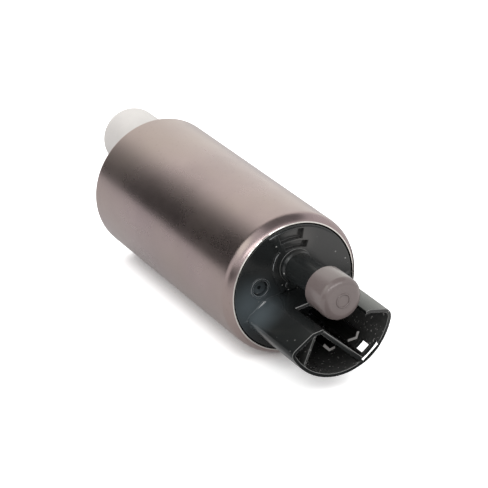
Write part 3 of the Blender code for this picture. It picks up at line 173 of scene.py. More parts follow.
patchNoise = {"detail": 5.0, "roughness": 0.6}
lineNoise = {"detail": 3.0, "roughness": 0.6, "stretch": (0.05, 1.0, 1.0)}
rubNoise = {"scale": 45.0, "detail": 6.0, "roughness": 0.65, "stretch": (0.45, 1.0, 1.0),
            "between": (0.35, 0.7)}
speckNoise = {"scale": 1500.0, "detail": 2.0, "roughness": 0.5, "between": (0.66, 0.74)}
skinNoise = {"detail": 3.0, "roughness": 0.6}
glossNoise = {"scale": 120.0, "detail": 4.0, "roughness": 0.55}
dustNoise = {"scale": 160.0, "detail": 2.0, "roughness": 0.55, "between": (0.5, 0.62)}
dustDots = {"scale": 420.0, "randomness": 1.0, "between": (0.12, 0.06)}


def newGroup(name, inputs, outputs):
    group = bpy.data.node_groups.new(name, "ShaderNodeTree")
    for label, kind, value in inputs:
        socket = group.interface.new_socket(label, in_out="INPUT", socket_type=kind)
        socket.default_value = value
    for label, kind in outputs:
        group.interface.new_socket(label, in_out="OUTPUT", socket_type=kind)
    return group, group.nodes.new("NodeGroupInput").outputs, group.nodes.new("NodeGroupOutput").inputs


def buildToneGroup():
    # patchy darker and lighter areas over a base colour
    group, given, out = newGroup("patchyTone", [("Colour", "NodeSocketColor", (0.5, 0.5, 0.5, 1.0)),
                                                ("Scale", "NodeSocketFloat", 60.0),
                                                ("Amount", "NodeSocketFloat", 0.15)],
                                 [("Colour", "NodeSocketColor"), ("Value", "NodeSocketFloat")])
    # the noise runs from nought to one, and the change from minus the amount to plus the amount
    patch = noiseAt(group, objectPlace(group), patchNoise, given["Scale"])
    change = calculate(group, "MULTIPLY", calculate(group, "SUBTRACT", patch, 0.5), given["Amount"])
    level = calculate(group, "ADD", calculate(group, "MULTIPLY", change, 2.0), 1.0)
    group.links.new(mixColours(group, 1.0, given["Colour"], level, "MULTIPLY"), out["Colour"])
    group.links.new(patch, out["Value"])
    return group


def buildDrawnGroup():
    # faint lines along the can from drawing and rolling, with rubbed patches and small scratches
    group, given, out = newGroup("drawnMetal", [("Scale", "NodeSocketFloat", 900.0)],
                                 [("Lines", "NodeSocketFloat"), ("Rub", "NodeSocketFloat"),
                                  ("Specks", "NodeSocketFloat")])
    coordinates = objectPlace(group)
    group.links.new(noiseAt(group, coordinates, lineNoise, given["Scale"]), out["Lines"])
    group.links.new(patchesAt(group, coordinates, rubNoise), out["Rub"])
    group.links.new(patchesAt(group, coordinates, speckNoise), out["Specks"])
    return group


def buildGrainGroup():
    # the fine skin of a mould, and loose dust on it
    group, given, out = newGroup("mouldSkin", [("Scale", "NodeSocketFloat", 1800.0),
                                               ("Dust", "NodeSocketFloat", 0.5)],
                                 [("Height", "NodeSocketFloat"), ("Dust", "NodeSocketFloat"),
                                  ("Gloss", "NodeSocketFloat")])
    coordinates = objectPlace(group)
    group.links.new(noiseAt(group, coordinates, skinNoise, given["Scale"]), out["Height"])
    dots = group.nodes.new("ShaderNodeTexVoronoi")
    dots.inputs["Scale"].default_value = dustDots["scale"]
    dots.inputs["Randomness"].default_value = dustDots["randomness"]
    group.links.new(coordinates, dots.inputs["Vector"])
    near = rampOf(group, dots.outputs["Distance"], *dustDots["between"])
    dusty = calculate(group, "MULTIPLY", near, patchesAt(group, coordinates, dustNoise))
    group.links.new(calculate(group, "MULTIPLY", dusty, given["Dust"], True), out["Dust"])
    group.links.new(noiseAt(group, coordinates, glossNoise), out["Gloss"])
    return group


patchyTone = buildToneGroup()
drawnMetal = buildDrawnGroup()
mouldSkin = buildGrainGroup()


# Masks over the pump

bayLightAndDustNoise = {"scale": 900.0, "detail": 5.0, "roughness": 0.7, "between": (0.3, 0.7, 0.45, 1.0)}


def betweenMask(tree, value, low, high):
    return calculate(tree, "MULTIPLY", calculate(tree, "GREATER_THAN", value, low),
                     calculate(tree, "LESS_THAN", value, high))


def axisDistanceSquared(tree, place):
    height = calculate(tree, "SUBTRACT", place["Z"], canMiddle.z)
    return calculate(tree, "ADD", calculate(tree, "MULTIPLY", place["Y"], place["Y"]),
                     calculate(tree, "MULTIPLY", height, height))


def litEdgeMask(tree, edge):
    # one on the cut edge of the can's lip at the outlet end, where the sheet is bare and lighter, partly as a
    # painted highlight, and nought elsewhere
    place = partsOf(tree, objectPlace(tree))
    distance = calculate(tree, "SQRT", axisDistanceSquared(tree, place))
    near = rampOf(tree, distance, edge["radius"] + edge["fade"], edge["radius"])
    return calculate(tree, "MULTIPLY", near, calculate(tree, "GREATER_THAN", place["X"], 0.0))


def bayLightAndDustMask(tree, bay):
    # above nought inside the connector, where the bay is painted lighter against its shade, in patches that
    # also hold dust specks, and nought elsewhere
    coordinates = objectPlace(tree)
    mask = 1.0
    for tilt, offset in bay["walls"]:
        level = tree.nodes.new("ShaderNodeVectorMath")
        level.operation = "DOT_PRODUCT"
        tree.links.new(coordinates, level.inputs[0])
        angle = math.radians(tilt)
        level.inputs[1].default_value = (0.0, -math.sin(angle), math.cos(angle))
        limit = canMiddle.z * math.cos(angle) + offset
        mask = calculate(tree, "MULTIPLY", calculate(tree, "LESS_THAN", level.outputs["Value"], limit), mask)
    place = partsOf(tree, coordinates)
    within = calculate(tree, "LESS_THAN", axisDistanceSquared(tree, place), bay["radius"] ** 2)
    mask = calculate(tree, "MULTIPLY", within, mask)
    mask = calculate(tree, "MULTIPLY", mask, betweenMask(tree, place["X"], bay["start"], bay["end"]))
    return calculate(tree, "MULTIPLY", mask, patchesAt(tree, coordinates, bayLightAndDustNoise))


def sideMask(tree, side):
    # growing from nought to one along the outside of the keyed wall, which shines less towards the mouth
    place, facing = partsOf(tree, objectPlace(tree)), partsOf(tree, surfaceFacing(tree))
    growing = rampOf(tree, place["X"], side["start"], side["end"])
    return calculate(tree, "MULTIPLY", growing, rampOf(tree, facing["Y"], *side["facing"]))


def rimMask(tree, rim):
    # one on the faces at one height of the moulding that are turned one way, and nought elsewhere
    place, facing = partsOf(tree, objectPlace(tree)), partsOf(tree, surfaceFacing(tree))
    return calculate(tree, "MULTIPLY", betweenMask(tree, facing["X"], *rim["facing"]),
                     betweenMask(tree, place["X"], *rim["span"]))


def paintedSheenMask(tree, sheen):
    # most in the middle of a soft patch of painted sheen on the moulding, fading to nought at its edge
    offset = tree.nodes.new("ShaderNodeVectorMath")
    offset.operation = "DISTANCE"
    tree.links.new(objectPlace(tree), offset.inputs[0])
    offset.inputs[1].default_value = sheen["middle"]
    fade = rampOf(tree, offset.outputs["Value"], sheen["reach"], 0.0, 0.0, sheen["amount"])
    fade.node.interpolation_type = "SMOOTHSTEP"
    return fade


# Materials

tintNoise = {"detail": 3.0, "roughness": 0.55, "stretch": (0.6, 1.0, 1.0), "between": (0.38, 0.62)}
baySpeckNoise = {"scale": 1300.0, "detail": 1.0, "roughness": 0.5, "between": (0.67, 0.72)}
baySpeckColour = (0.34, 0.33, 0.32)
dustColour = (0.55, 0.54, 0.52)
plainSpecular = 0.5
bumpDistance = 0.02 * mm


def newMaterial(name):
    material = bpy.data.materials.new(name)
    material.use_nodes = True
    tree = material.node_tree
    return material, tree, tree.nodes["Principled BSDF"]


def useGroup(tree, group, **values):
    node = tree.nodes.new("ShaderNodeGroup")
    node.node_tree = group
    for label, value in values.items():
        node.inputs[label].default_value = value
    return node.outputs


def toneFrom(tree, look):
    tone = useGroup(tree, patchyTone, Colour=opaque(look["colour"]), Scale=look["patchScale"],
                    Amount=look["patchAmount"])
    return tone["Colour"]


def bumpFrom(tree, shader, height, strength):
    bump = tree.nodes.new("ShaderNodeBump")
    bump.inputs["Strength"].default_value = strength
    bump.inputs["Distance"].default_value = bumpDistance
    tree.links.new(height, bump.inputs["Height"])
    tree.links.new(bump.outputs["Normal"], shader.inputs["Normal"])


def roughnessFrom(tree, shader, pattern, change, least):
    rough = calculate(tree, "ADD", calculate(tree, "MULTIPLY", pattern, change), least)
    tree.links.new(rough, shader.inputs["Roughness"])


def metalMaterial(name, look):
    material, tree, shader = newMaterial(name)
    colour = toneFrom(tree, look)
    drawn = useGroup(tree, drawnMetal, Scale=look["lineScale"])
    if "tint" in look:
        drift = patchesAt(tree, objectPlace(tree), tintNoise, look["tintScale"])
        colour = mixColours(tree, drift, colour, opaque(look["tint"]))
    specks = calculate(tree, "MULTIPLY", drawn["Specks"], look["specks"])
    colour = mixColours(tree, specks, colour, opaque(look["speckColour"]))
    # the bare cut edge of the lip is made lighter, partly as a painted highlight
    if "bareLitEdge" in look:
        edge = look["bareLitEdge"]
        colour = mixColours(tree, litEdgeMask(tree, edge), colour, opaque(edge["colour"]))
    shader.inputs["Metallic"].default_value = look["metallic"]
    # faces turned along X are lighter and less metallic as a painted highlight on the terminal ends
    if "paintedLitEnd" in look:
        litEnd = look["paintedLitEnd"]
        turned = calculate(tree, "ABSOLUTE", partsOf(tree, surfaceFacing(tree))["X"])
        end = calculate(tree, "GREATER_THAN", turned, litEnd["facing"])
        colour = mixColours(tree, end, colour, opaque(litEnd["colour"]))
        loss = calculate(tree, "MULTIPLY", end, litEnd["metallicLoss"])
        tree.links.new(calculate(tree, "SUBTRACT", look["metallic"], loss), shader.inputs["Metallic"])
    tree.links.new(colour, shader.inputs["Base Color"])
    roughnessFrom(tree, shader, drawn["Rub"], look["rubRoughness"], look["roughness"])
    bumpFrom(tree, shader, drawn["Lines"], look["lineDepth"])
    return material


def mouldedMaterial(name, look):
    material, tree, shader = newMaterial(name)
    colour = toneFrom(tree, look)
    skin = useGroup(tree, mouldSkin, Scale=look["grainScale"], Dust=look["dust"])
    # soft patches of painted sheen on the end moulding
    for sheen in look.get("hazes", ()):
        colour = mixColours(tree, paintedSheenMask(tree, sheen), colour, opaque(sheen["film"]))
    if "bay" in look:
        # the inside of the bay is painted lighter as painted light in its shade, with dust specks over it
        inside = bayLightAndDustMask(tree, look["bay"])
        colour = mixColours(tree, inside, colour, opaque(look["bay"]["film"]))
        specks = calculate(tree, "MULTIPLY", patchesAt(tree, objectPlace(tree), baySpeckNoise), inside)
        colour = mixColours(tree, specks, colour, opaque(baySpeckColour))
    if "dullSide" in look:
        dull = calculate(tree, "MAXIMUM", sideMask(tree, look["dullSide"]), rimMask(tree, look["dullEnd"]))
        loss = calculate(tree, "MULTIPLY", dull, look["dullSide"]["amount"])
        tree.links.new(calculate(tree, "SUBTRACT", plainSpecular, loss), shader.inputs["Specular IOR Level"])
    # thin painted highlights on the eased edges of the rims
    for rim in look.get("rims", ()):
        colour = mixColours(tree, rimMask(tree, rim), colour, opaque(rim["colour"]))
    tree.links.new(mixColours(tree, skin["Dust"], colour, opaque(dustColour)), shader.inputs["Base Color"])
    roughnessFrom(tree, shader, skin["Gloss"], look["glossChange"], look["roughness"])
    bumpFrom(tree, shader, skin["Height"], look["grainDepth"])
    return material


steelLook = {"colour": (0.36, 0.282, 0.282), "patchScale": 38.0, "patchAmount": 0.28, "lineScale": 900.0,
             "specks": 0.25, "speckColour": (0.10, 0.08, 0.07), "roughness": 0.25, "rubRoughness": 0.1,
             "tint": (0.37, 0.296, 0.278), "tintScale": 42.0, "metallic": 1.0, "lineDepth": 0.06,
             "bareLitEdge": {"radius": 17.8 * mm, "fade": 0.1 * mm, "colour": (0.75, 0.72, 0.68)}}
plainMetal = {"patchScale": 120.0, "patchAmount": 0.12, "lineScale": 1500.0, "specks": 0.2,
              "speckColour": (0.1, 0.09, 0.08), "roughness": 0.28, "rubRoughness": 0.1, "metallic": 1.0,
              "lineDepth": 0.08}
# the tinned strip is dark as painted shade of the connector recess, and its end faces light as a painted
# highlight
shadedTinnedLook = {**plainMetal, "colour": (0.07, 0.07, 0.067),
              "paintedLitEnd": {"facing": 0.6, "metallicLoss": 0.8, "colour": (0.3, 0.29, 0.28)}}
blackLook = {"colour": (0.014, 0.0155, 0.0155), "patchScale": 140.0, "patchAmount": 0.3, "grainScale": 1700.0,
             "grainDepth": 0.05, "dust": 0.8, "roughness": 0.12, "glossChange": 0.14}
plainMoulded = {"patchScale": 130.0, "patchAmount": 0.12, "grainScale": 1500.0, "grainDepth": 0.1,
                "dust": 0.0, "roughness": 0.4, "glossChange": 0.12}

# the walls are given as the tilt and height of each slanted face that closes the bay from above
connectorBay = {"walls": ((9.3, -1.2 * mm), (-11.3, 2.0 * mm), (35.2, 2.3 * mm)), "radius": 14.45 * mm,
                "start": fromInlet(78.2), "end": fromInlet(100.2), "film": (0.06, 0.06, 0.058)}
# a bluish painted sheen low on the left of the end face, and a warm painted reflection over the pad
leftSheen = {"middle": (fromInlet(79.0), -12.5 * mm, canLow[2] + 16.5 * mm), "reach": 10.5 * mm,
            "amount": 1.0, "film": (0.08, 0.098, 0.108)}
padSheen = {"middle": (fromInlet(78.4), 1.5 * mm, canMiddle.z + 13.2 * mm), "reach": 6.0 * mm,
           "amount": 0.7, "film": (0.07, 0.066, 0.063)}
keySide = {"start": fromInlet(80.0), "end": fromInlet(92.0), "facing": (-0.2, -0.45), "amount": 0.34}
hoseEdge = 86.6                                # millimetres from the inlet end to the cut-out for the hose
# the rim colours are painted highlights along eased edges, lighter than the black moulding
mouthRimHighlight = {"span": (fromInlet(99.8), fromInlet(101.0)), "facing": (0.25, 0.95), "colour": (0.2, 0.2, 0.195)}
hoseRimHighlight = {"span": (fromInlet(hoseEdge - 0.2), fromInlet(hoseEdge + 0.1)), "facing": (0.25, 0.95),
           "colour": (0.4, 0.4, 0.39)}
outerRimHighlight = {"span": (fromInlet(77.82), fromInlet(78.06)), "facing": (0.15, 0.96), "colour": (0.4, 0.41, 0.42)}
padRimHighlight = {"span": (fromInlet(78.22), fromInlet(78.45)), "facing": (0.25, 0.95), "colour": (0.1, 0.1, 0.097)}
dullEnd = {"span": (fromInlet(hoseEdge - 0.05), fromInlet(hoseEdge + 0.1)), "facing": (0.95, 1.1)}
endLook = {**blackLook, "bay": connectorBay, "hazes": (leftSheen, padSheen), "dullSide": keySide,
           "dullEnd": dullEnd, "rims": (mouthRimHighlight, hoseRimHighlight, outerRimHighlight, padRimHighlight)}

plainMouldings = {
    "greyVinyl": {"colour": (0.152, 0.122, 0.118), "roughness": 0.2, "glossChange": 0.06, "grainDepth": 0.04},
    "milkyPlastic": {"colour": (0.59, 0.56, 0.54), "roughness": 0.35},
    "sealRubber": {"colour": (0.03, 0.03, 0.03), "roughness": 0.55},
    "naturalNylon": {"colour": (0.72, 0.68, 0.58)},
    "pressedCarbon": {"colour": (0.05, 0.05, 0.052), "grainDepth": 0.3},
    "pressedFerrite": {"colour": (0.07, 0.07, 0.075), "grainDepth": 0.3}}
metalColours = {"gearRingAlloy": (0.62, 0.62, 0.62), "sinteredIron": (0.24, 0.23, 0.22),
                "hardSteel": (0.52, 0.51, 0.5), "laminationSteel": (0.36, 0.35, 0.34),
                "copperWire": (0.62, 0.25, 0.1), "bronze": (0.52, 0.35, 0.16)}

steelMaterial = metalMaterial("rolledSteel", steelLook)
blackMaterial = mouldedMaterial("blackMoulding", blackLook)
endMaterial = mouldedMaterial("connectorMoulding", endLook)
moulded = {name: mouldedMaterial(name, {**plainMoulded, **look}) for name, look in plainMouldings.items()}
tinnedMaterial = metalMaterial("tinnedStrip", shadedTinnedLook)
metals = {name: metalMaterial(name, {**plainMetal, "colour": colour})
          for name, colour in metalColours.items()}
print("materials ready")


def dress(piece, material):
    piece.data.materials.clear()
    piece.data.materials.append(material)


def standFor(piece, node, body, material):
    dress(piece, material)
    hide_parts(node)
    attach(piece, body)


# Rolled steel can

canShape = {"wall": 1.0 * mm, "shoulder": 4.4 * mm, "outletLip": 2.0 * mm, "inletShoulder": 1.3 * mm,
            "inletLip": 3.5 * mm, "segments": 192, "inletSteps": 8, "shoulderSteps": 16, "innerSteps": 12,
            "innerInletSteps": 4, "cutEdge": 0.3 * mm, "cutSegments": 4, "cutAngle": 50.0}


def makeCan(shape):
    wall, shoulder, inlet = shape["wall"], shape["shoulder"], shape["inletShoulder"]
    start, end = canMiddle.x - canHalfLength, canMiddle.x + canHalfLength
    centre = (end - shoulder, canRadius - shoulder)
    lipRadius = canRadius - shape["outletLip"]
    outerStop = math.degrees(math.asin((lipRadius - centre[1]) / shoulder))
    innerStop = math.degrees(math.asin((lipRadius - centre[1]) / (shoulder - wall)))
    inletCentre = (start + inlet, canRadius - inlet)
    inletEdge = canRadius - shape["inletLip"]
    profile = [(start, inletEdge)]
    profile += arcPoints(inletCentre, inlet, 180.0, 90.0, shape["inletSteps"])
    profile += arcPoints(centre, shoulder, 90.0, outerStop, shape["shoulderSteps"])
    profile += arcPoints(centre, shoulder - wall, innerStop, 90.0, shape["innerSteps"])
    profile += arcPoints(inletCentre, inlet - wall, 90.0, 180.0, shape["innerInletSteps"])
    profile += [(start + wall, inletEdge)]
    can = turnedPiece("steelCan", profile, canMiddle.z, shape["segments"])
    rim = can.modifiers.new("Bevel", "BEVEL")
    rim.width = shape["cutEdge"]
    rim.segments = shape["cutSegments"]
    rim.limit_method = "ANGLE"
    rim.angle_limit = math.radians(shape["cutAngle"])
    return can


standFor(makeCan(canShape), "pump_shell", "housing", steelMaterial)
print("can made")


# Mouldings

mouldedEdges = {"radius": 0.16 * mm, "segments": 2, "sharpFrom": 28.0, "merge": 0.002 * mm, "flatWithin": 1.0}
latchPlace = {"angle": -49.9, "start": fromInlet(91.0), "width": 16.0}


def awayFromLatch(edge):
    # false round the latch slot, whose thin bridge has no room for an eased edge
    middle = (edge.verts[0].co + edge.verts[1].co) / 2
    around = math.degrees(math.atan2(middle.z - canMiddle.z, middle.y)) - latchPlace["angle"]
    return middle.x < latchPlace["start"] or abs((around + 180.0) % 360.0 - 180.0) > latchPlace["width"]


def softEdgedCopy(nodeName, pieceName, easing):
    # the CAD piece again, with its corners eased as a mould leaves them
    bm = bmesh.new()
    bm.from_mesh(cad[nodeName].data)
    bmesh.ops.remove_doubles(bm, verts=bm.verts, dist=easing["merge"])
    bmesh.ops.dissolve_limit(bm, angle_limit=math.radians(easing["flatWithin"]), verts=bm.verts,
                             edges=bm.edges)
    weight = bm.edges.layers.float.new("bevel_weight_edge")
    sharp = math.radians(easing["sharpFrom"])
    for edge in bm.edges:
        if len(edge.link_faces) == 2 and edge.calc_face_angle(0.0) > sharp and awayFromLatch(edge):
            edge[weight] = 1.0
    piece = finishPiece(bm, pieceName, easing["sharpFrom"])
    rounding = piece.modifiers.new("Bevel", "BEVEL")
    rounding.width = easing["radius"]
    rounding.segments = easing["segments"]
    rounding.limit_method = "WEIGHT"
    rounding.use_clamp_overlap = False
    rounding.harden_normals = True
    return piece


standFor(softEdgedCopy("outlet_end_cap", "endMoulding", mouldedEdges), "outlet_end_cap", "housing",
         endMaterial)
standFor(softEdgedCopy("inlet_body", "inletMoulding", mouldedEdges), "inlet_body", "housing",
         blackMaterial)
print("mouldings made")


# Dust caps

outletCapShape = {"wall": 0.9 * mm, "edge": 2.0 * mm, "rim": 0.3 * mm, "mark": 0.25 * mm,
                  "markRadius": 1.8 * mm, "segments": 128, "sharpAngle": 50.0, "innerSteps": 8,
                  "rimSteps": 4, "outerSteps": 14, "markSteps": 6}
inletCapShape = {"wall": 1.2 * mm, "edge": 5.2 * mm, "flange": 0.45 * mm, "rim": 0.25 * mm,
                 "segments": 128, "sharpAngle": 50.0, "innerSteps": 12, "rimSteps": 4, "underSteps": 3,
                 "underTurn": 150.0, "outerSteps": 18}


def makeOutletCap(shape):
    low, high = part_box("outlet_dust_cap")
    radius, axis = (high[1] - low[1]) / 2, (low[2] + high[2]) / 2
    mark, ring = shape["mark"], shape["markRadius"]
    start, tip = low[0], high[0] - mark
    edge, wall, rim = shape["edge"], shape["wall"], shape["rim"]
    corner = (tip - edge, radius - edge)
    profile = [(tip - wall, 0.0)]
    profile += arcPoints(corner, edge - wall, 0.0, 90.0, shape["innerSteps"])
    profile += [(start + rim, radius - wall)]
    profile += arcPoints((start + rim, radius - rim), rim, 180.0, 90.0, shape["rimSteps"])
    profile += arcPoints(corner, edge, 90.0, 0.0, shape["outerSteps"])
    profile += arcPoints((tip, ring), mark, 90.0, -90.0, shape["markSteps"])
    profile += [(tip, 0.0)]
    return turnedPiece("outletDustCap", profile, axis, shape["segments"], shape["sharpAngle"])


def makeInletCap(shape):
    low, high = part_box("inlet_dust_cap")
    flange, axis = (high[1] - low[1]) / 2, (low[2] + high[2]) / 2
    radius, edge, wall, rim = flange - shape["flange"], shape["edge"], shape["wall"], shape["rim"]
    tip, end = low[0], high[0]
    corner = (tip + edge, radius - edge)
    profile = [(tip + wall, 0.0)]
    profile += arcPoints(corner, edge - wall, 180.0, 90.0, shape["innerSteps"])
    profile += [(end, radius - wall)]
    profile += arcPoints((end - rim, flange - rim), rim, 0.0, 90.0, shape["rimSteps"])
    profile += arcPoints((end - wall + rim, flange - rim), rim, 90.0, shape["underTurn"], shape["underSteps"])
    profile += [(end - wall - shape["flange"], radius)]
    profile += arcPoints(corner, edge, 90.0, 180.0, shape["outerSteps"])
    profile += [(tip, 0.0)]
    return turnedPiece("inletDustCap", profile, axis, shape["segments"], shape["sharpAngle"])


standFor(makeOutletCap(outletCapShape), "outlet_dust_cap", "outlet_cap",
         moulded["greyVinyl"])
standFor(makeInletCap(inletCapShape), "inlet_dust_cap", "inlet_cap",
         moulded["milkyPlastic"])
print("dust caps made")


# Springs of the brushes and valves

coilShape = {"wire": 0.24 * mm, "stepsPerTurn": 28, "sides": 10, "sharpAngle": 50.0}
springs = {"brush_spring_right": {"turns": 5, "joint": "right_brush_wear", "travel": 3.0 * mm},
           "brush_spring_left": {"turns": 5, "joint": "left_brush_wear", "travel": 3.0 * mm},
           "check_valve_spring": {"turns": 4, "joint": "check_valve_lift", "travel": 2.0 * mm},
           "relief_valve_spring": {"turns": 3, "joint": "relief_valve_lift", "travel": 0.8 * mm}}


def makeCoil(node, name, turns, shape):
    # a round wire wound along the axis, in the place of the CAD spring
    low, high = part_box(node)
    wire, sides, steps = shape["wire"], shape["sides"], shape["stepsPerTurn"] * turns
    middle = Vector((0.0, (low[1] + high[1]) / 2, (low[2] + high[2]) / 2))
    radius, along = (high[1] - low[1]) / 2 - wire, Vector((1.0, 0.0, 0.0))
    length = high[0] - low[0] - 2 * wire
    bm = bmesh.new()
    rings = []
    for step in range(steps + 1):
        angle = math.tau * turns * step / steps
        outwards = Vector((0.0, math.cos(angle), math.sin(angle)))
        place = middle + outwards * radius + along * (low[0] + wire + length * step / steps)
        ring = []
        for side in range(sides):
            turned = math.tau * side / sides
            ring.append(bm.verts.new(place + wire * (math.cos(turned) * outwards + math.sin(turned) * along)))
        rings.append(ring)
    for ring, after in zip(rings, rings[1:]):
        for side in range(sides):
            bm.faces.new((ring[side], ring[side - 1], after[side - 1], after[side]))
    bm.faces.new(rings[0])
    bm.faces.new(rings[-1])
    return finishPiece(bm, name, shape["sharpAngle"])


for nodeName, facts in springs.items():
    words = nodeName.split("_")
    pieceName = words[0] + "".join(word.title() for word in words[1:])
    coil = makeCoil(nodeName, pieceName, facts["turns"], coilShape)
    standFor(coil, nodeName, "housing", metals["hardSteel"])
    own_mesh(coil)
print("springs wound")


# Finishes of the CAD pieces that stay

nodeFinishes = (
    (tinnedMaterial, ("terminal_left", "terminal_right")),
    (endMaterial, ("relief_valve_plug",)),
    (metals["gearRingAlloy"], ("gear_ring", "discharge_plate")),
    (metals["sinteredIron"], ("inner_rotor", "outer_rotor")),
    (metals["hardSteel"], ("armature_shaft", "dowel_pin_lower", "dowel_pin_upper", "relief_valve_ball",
                           "magnet_clip_upper", "magnet_clip_lower")),
    (metals["laminationSteel"], ("armature_core", "flux_ring")),
    (metals["copperWire"], ("armature_windings", "choke_left", "choke_right")),
    (metals["bronze"], ("pump_bushing", "outlet_bushing")),
    (moulded["naturalNylon"], ("drive_coupler", "thrust_washer_pump", "thrust_washer_outlet",
                               "check_valve_poppet", "check_valve_guide")),
    (moulded["pressedCarbon"], ("commutator", "brush_left", "brush_right")),
    (moulded["pressedFerrite"], ("magnet_left", "magnet_right")),
    (moulded["sealRubber"], ("seal_ring",)))

for finish, nodeNames in nodeFinishes:
    for nodeName in nodeNames:
        dress(cad[nodeName], finish)
print("CAD pieces dressed")


# Floor, lamps and camera

floorLook = {"size": 3.0, "mirroredColour": (0.5, 0.5, 0.5), "seenGlow": 0.55, "mirroredGlow": 0.2,
             "openColour": (1.0, 0.995, 0.99), "shadedColour": (0.42, 0.385, 0.375),
             "contactReach": 8.0 * mm, "contactSamples": 12, "clearFrom": 0.55}
worldLevel = 1.3
rampUnit = 2.0


def makeFloor(look):
    bm = bmesh.new()
    bmesh.ops.create_grid(bm, x_segments=1, y_segments=1, size=look["size"])
    floor = finishPiece(bm, "studioFloor")
    material, tree, shader = newMaterial("paleFloor")
    light = tree.nodes.new("ShaderNodeLightPath").outputs
    contact = tree.nodes.new("ShaderNodeAmbientOcclusion")
    contact.samples = look["contactSamples"]
    contact.inputs["Distance"].default_value = look["contactReach"]
    clear = rampOf(tree, contact.outputs["AO"], 0.0, look["clearFrom"])
    white = mixColours(tree, clear, opaque(look["shadedColour"]), opaque(look["openColour"]))
    colour = mixColours(tree, light["Is Camera Ray"], opaque(look["mirroredColour"]), white)
    tree.links.new(colour, shader.inputs["Base Color"])
    seen = calculate(tree, "MULTIPLY", light["Is Camera Ray"], clear)
    seen = calculate(tree, "MULTIPLY", seen, look["seenGlow"])
    mirrored = calculate(tree, "MULTIPLY", light["Is Glossy Ray"], look["mirroredGlow"])
    tree.links.new(calculate(tree, "ADD", seen, mirrored), shader.inputs["Emission Strength"])
    shader.inputs["Emission Color"].default_value = (1.0, 1.0, 1.0, 1.0)
    shader.inputs["Roughness"].default_value = 1.0
    shader.inputs["Specular IOR Level"].default_value = 0.0
    dress(floor, material)


def makeWorld(level):
    # brighter as a lamp than where it is seen or mirrored
    world = bpy.data.worlds.new("studioWorld")
    bpy.context.scene.world = world
    world.use_nodes = True
    tree = world.node_tree
    light = tree.nodes.new("ShaderNodeLightPath").outputs
    seen = calculate(tree, "MAXIMUM", light["Is Camera Ray"], light["Is Glossy Ray"])
    seen = calculate(tree, "MAXIMUM", seen, light["Is Transmission Ray"])
    strength = calculate(tree, "ADD", calculate(tree, "MULTIPLY", seen, 1.0 - level), level)
    background = tree.nodes["Background"]
    background.inputs["Color"].default_value = (1.0, 1.0, 1.0, 1.0)
    tree.links.new(strength, background.inputs["Strength"])


def addCard(name, look):
    # a card for the polished pieces to reflect, graded from side to side, as photographers stand round metal
    size = look["size"]
    bm = bmesh.new()
    bmesh.ops.create_grid(bm, x_segments=1, y_segments=1, size=0.5)
    bmesh.ops.scale(bm, vec=(*size, 1.0), verts=bm.verts)
    card = finishPiece(bm, name)
    card.location = look["place"]
    turned = Quaternion((0.0, 0.0, 1.0), math.radians(look.get("turn", 0.0)))
    card.rotation_euler = (Vector(look["facing"]).to_track_quat("Z", "Y") @ turned).to_euler()
    material, tree, shader = newMaterial(name + "Face")
    side = partsOf(tree, objectPlace(tree))["X"]
    grade = tree.nodes.new("ShaderNodeValToRGB")
    elements = grade.color_ramp.elements
    grade.color_ramp.interpolation = "LINEAR"
    for index, (position, level) in enumerate(look["stops"]):
        stop = elements[index] if index < 2 else elements.new(position)
        stop.position = position
        stop.color = opaque((level / rampUnit,) * 3)
    tree.links.new(rampOf(tree, side, -size[0] / 2, size[0] / 2), grade.inputs["Fac"])
    glow = tree.nodes.new("ShaderNodeEmission")
    glow.inputs["Color"].default_value = opaque(look["colour"])
    tree.links.new(calculate(tree, "MULTIPLY", grade.outputs["Color"], rampUnit), glow.inputs["Strength"])
    tree.links.new(glow.outputs["Emission"], tree.nodes["Material Output"].inputs["Surface"])
    dress(card, material)
    card.visible_camera = False
    card.visible_diffuse = False
    card.visible_shadow = False
    card.visible_transmission = False


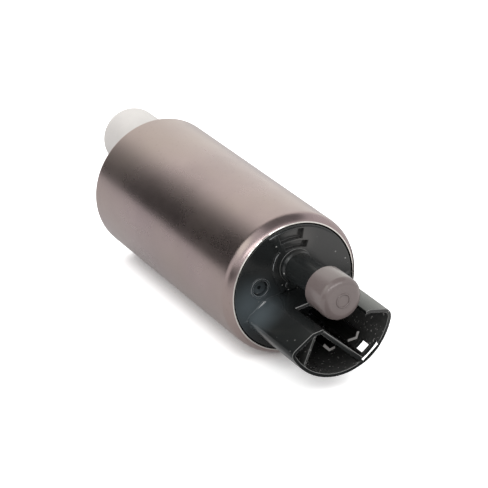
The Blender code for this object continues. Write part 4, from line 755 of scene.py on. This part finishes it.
def addCamera(view):
    azimuth, elevation = math.radians(view["azimuth"]), math.radians(view["elevation"])
    back = Vector((math.sin(azimuth) * math.cos(elevation), -math.cos(azimuth) * math.cos(elevation),
                   math.sin(elevation)))
    right = Vector((math.cos(azimuth), math.sin(azimuth), 0.0))
    up = back.cross(right)
    camera = bpy.data.objects.new("photoCamera", bpy.data.cameras.new("photoCamera"))
    camera.data.lens = view["lens"]
    camera.data.sensor_width = view["sensor"]
    place = canMiddle + Vector((view["ahead"], 0.0, 0.0)) + up * view["raised"] + back * view["distance"]
    turn = Matrix((right, up, back)).transposed().to_4x4()
    camera.matrix_world = Matrix.Translation(place) @ turn
    bpy.context.collection.objects.link(camera)
    bpy.context.scene.camera = camera


photoView = {"azimuth": 61.06, "elevation": 24.6, "distance": 627.97 * mm, "ahead": 11.785 * mm,
             "raised": 1.224 * mm, "lens": 174.65, "sensor": 36.0}
backStops = [(0.0, 0.02), (0.29, 0.02), (0.33, 0.2), (0.39, 0.6), (0.45, 1.1), (0.5, 1.3), (1.0, 1.3)]
# the floor card is dark close to the mouth as a painted shadow of the floor, seen only in reflections, and
# bright further ahead
aheadStops = [(0.0, 1.5), (0.835, 1.5), (0.865, 0.08), (1.0, 0.03)]
cards = {
    "backCard": {"place": (-0.5, 0.0, 0.44), "facing": (1.0, 0.0, 0.0), "size": (1.4, 0.9),
                 "stops": backStops, "colour": (1.0, 1.01, 0.955)},
    "keyCard": {"place": (-0.1, -0.44, 0.46), "facing": (0.1, 0.44, -0.44), "size": (0.5, 0.26),
                "stops": [(0.0, 1.8), (1.0, 1.8)], "colour": (1.0, 1.064, 0.965)},
    "overheadCard": {"place": (0.02, 0.17, 0.55), "facing": (0.0, 0.0, -1.0), "size": (0.7, 0.6),
                     "stops": [(0.0, 0.22), (1.0, 0.22)], "colour": (1.0, 1.0, 1.0)},
    "lowCard": {"place": (0.26, -0.5, 0.09), "facing": (0.0, 1.0, 0.0), "size": (0.6, 0.18),
                "stops": [(0.0, 0.02), (1.0, 0.02)], "colour": (1.0, 1.0, 1.0)},
    "frontCard": {"place": (0.52, -0.12, 0.46), "facing": (-0.52, 0.12, -0.42), "size": (0.9, 0.14),
                  "stops": [(0.0, 5.0), (1.0, 5.0)], "colour": (1.0, 1.0, 1.0)},
    "floorCard": {"place": (0.186, 0.076, 0.0004), "facing": (0.0, 0.0, 1.0), "size": (0.3, 0.3),
                  "stops": aheadStops, "colour": (1.0, 0.97, 0.95), "turn": 45.0}}

makeFloor(floorLook)
makeWorld(worldLevel)
for cardName, cardLook in cards.items():
    addCard(cardName, cardLook)
addCamera(photoView)
bpy.context.scene.view_settings.view_transform = "Standard"
print("studio ready")
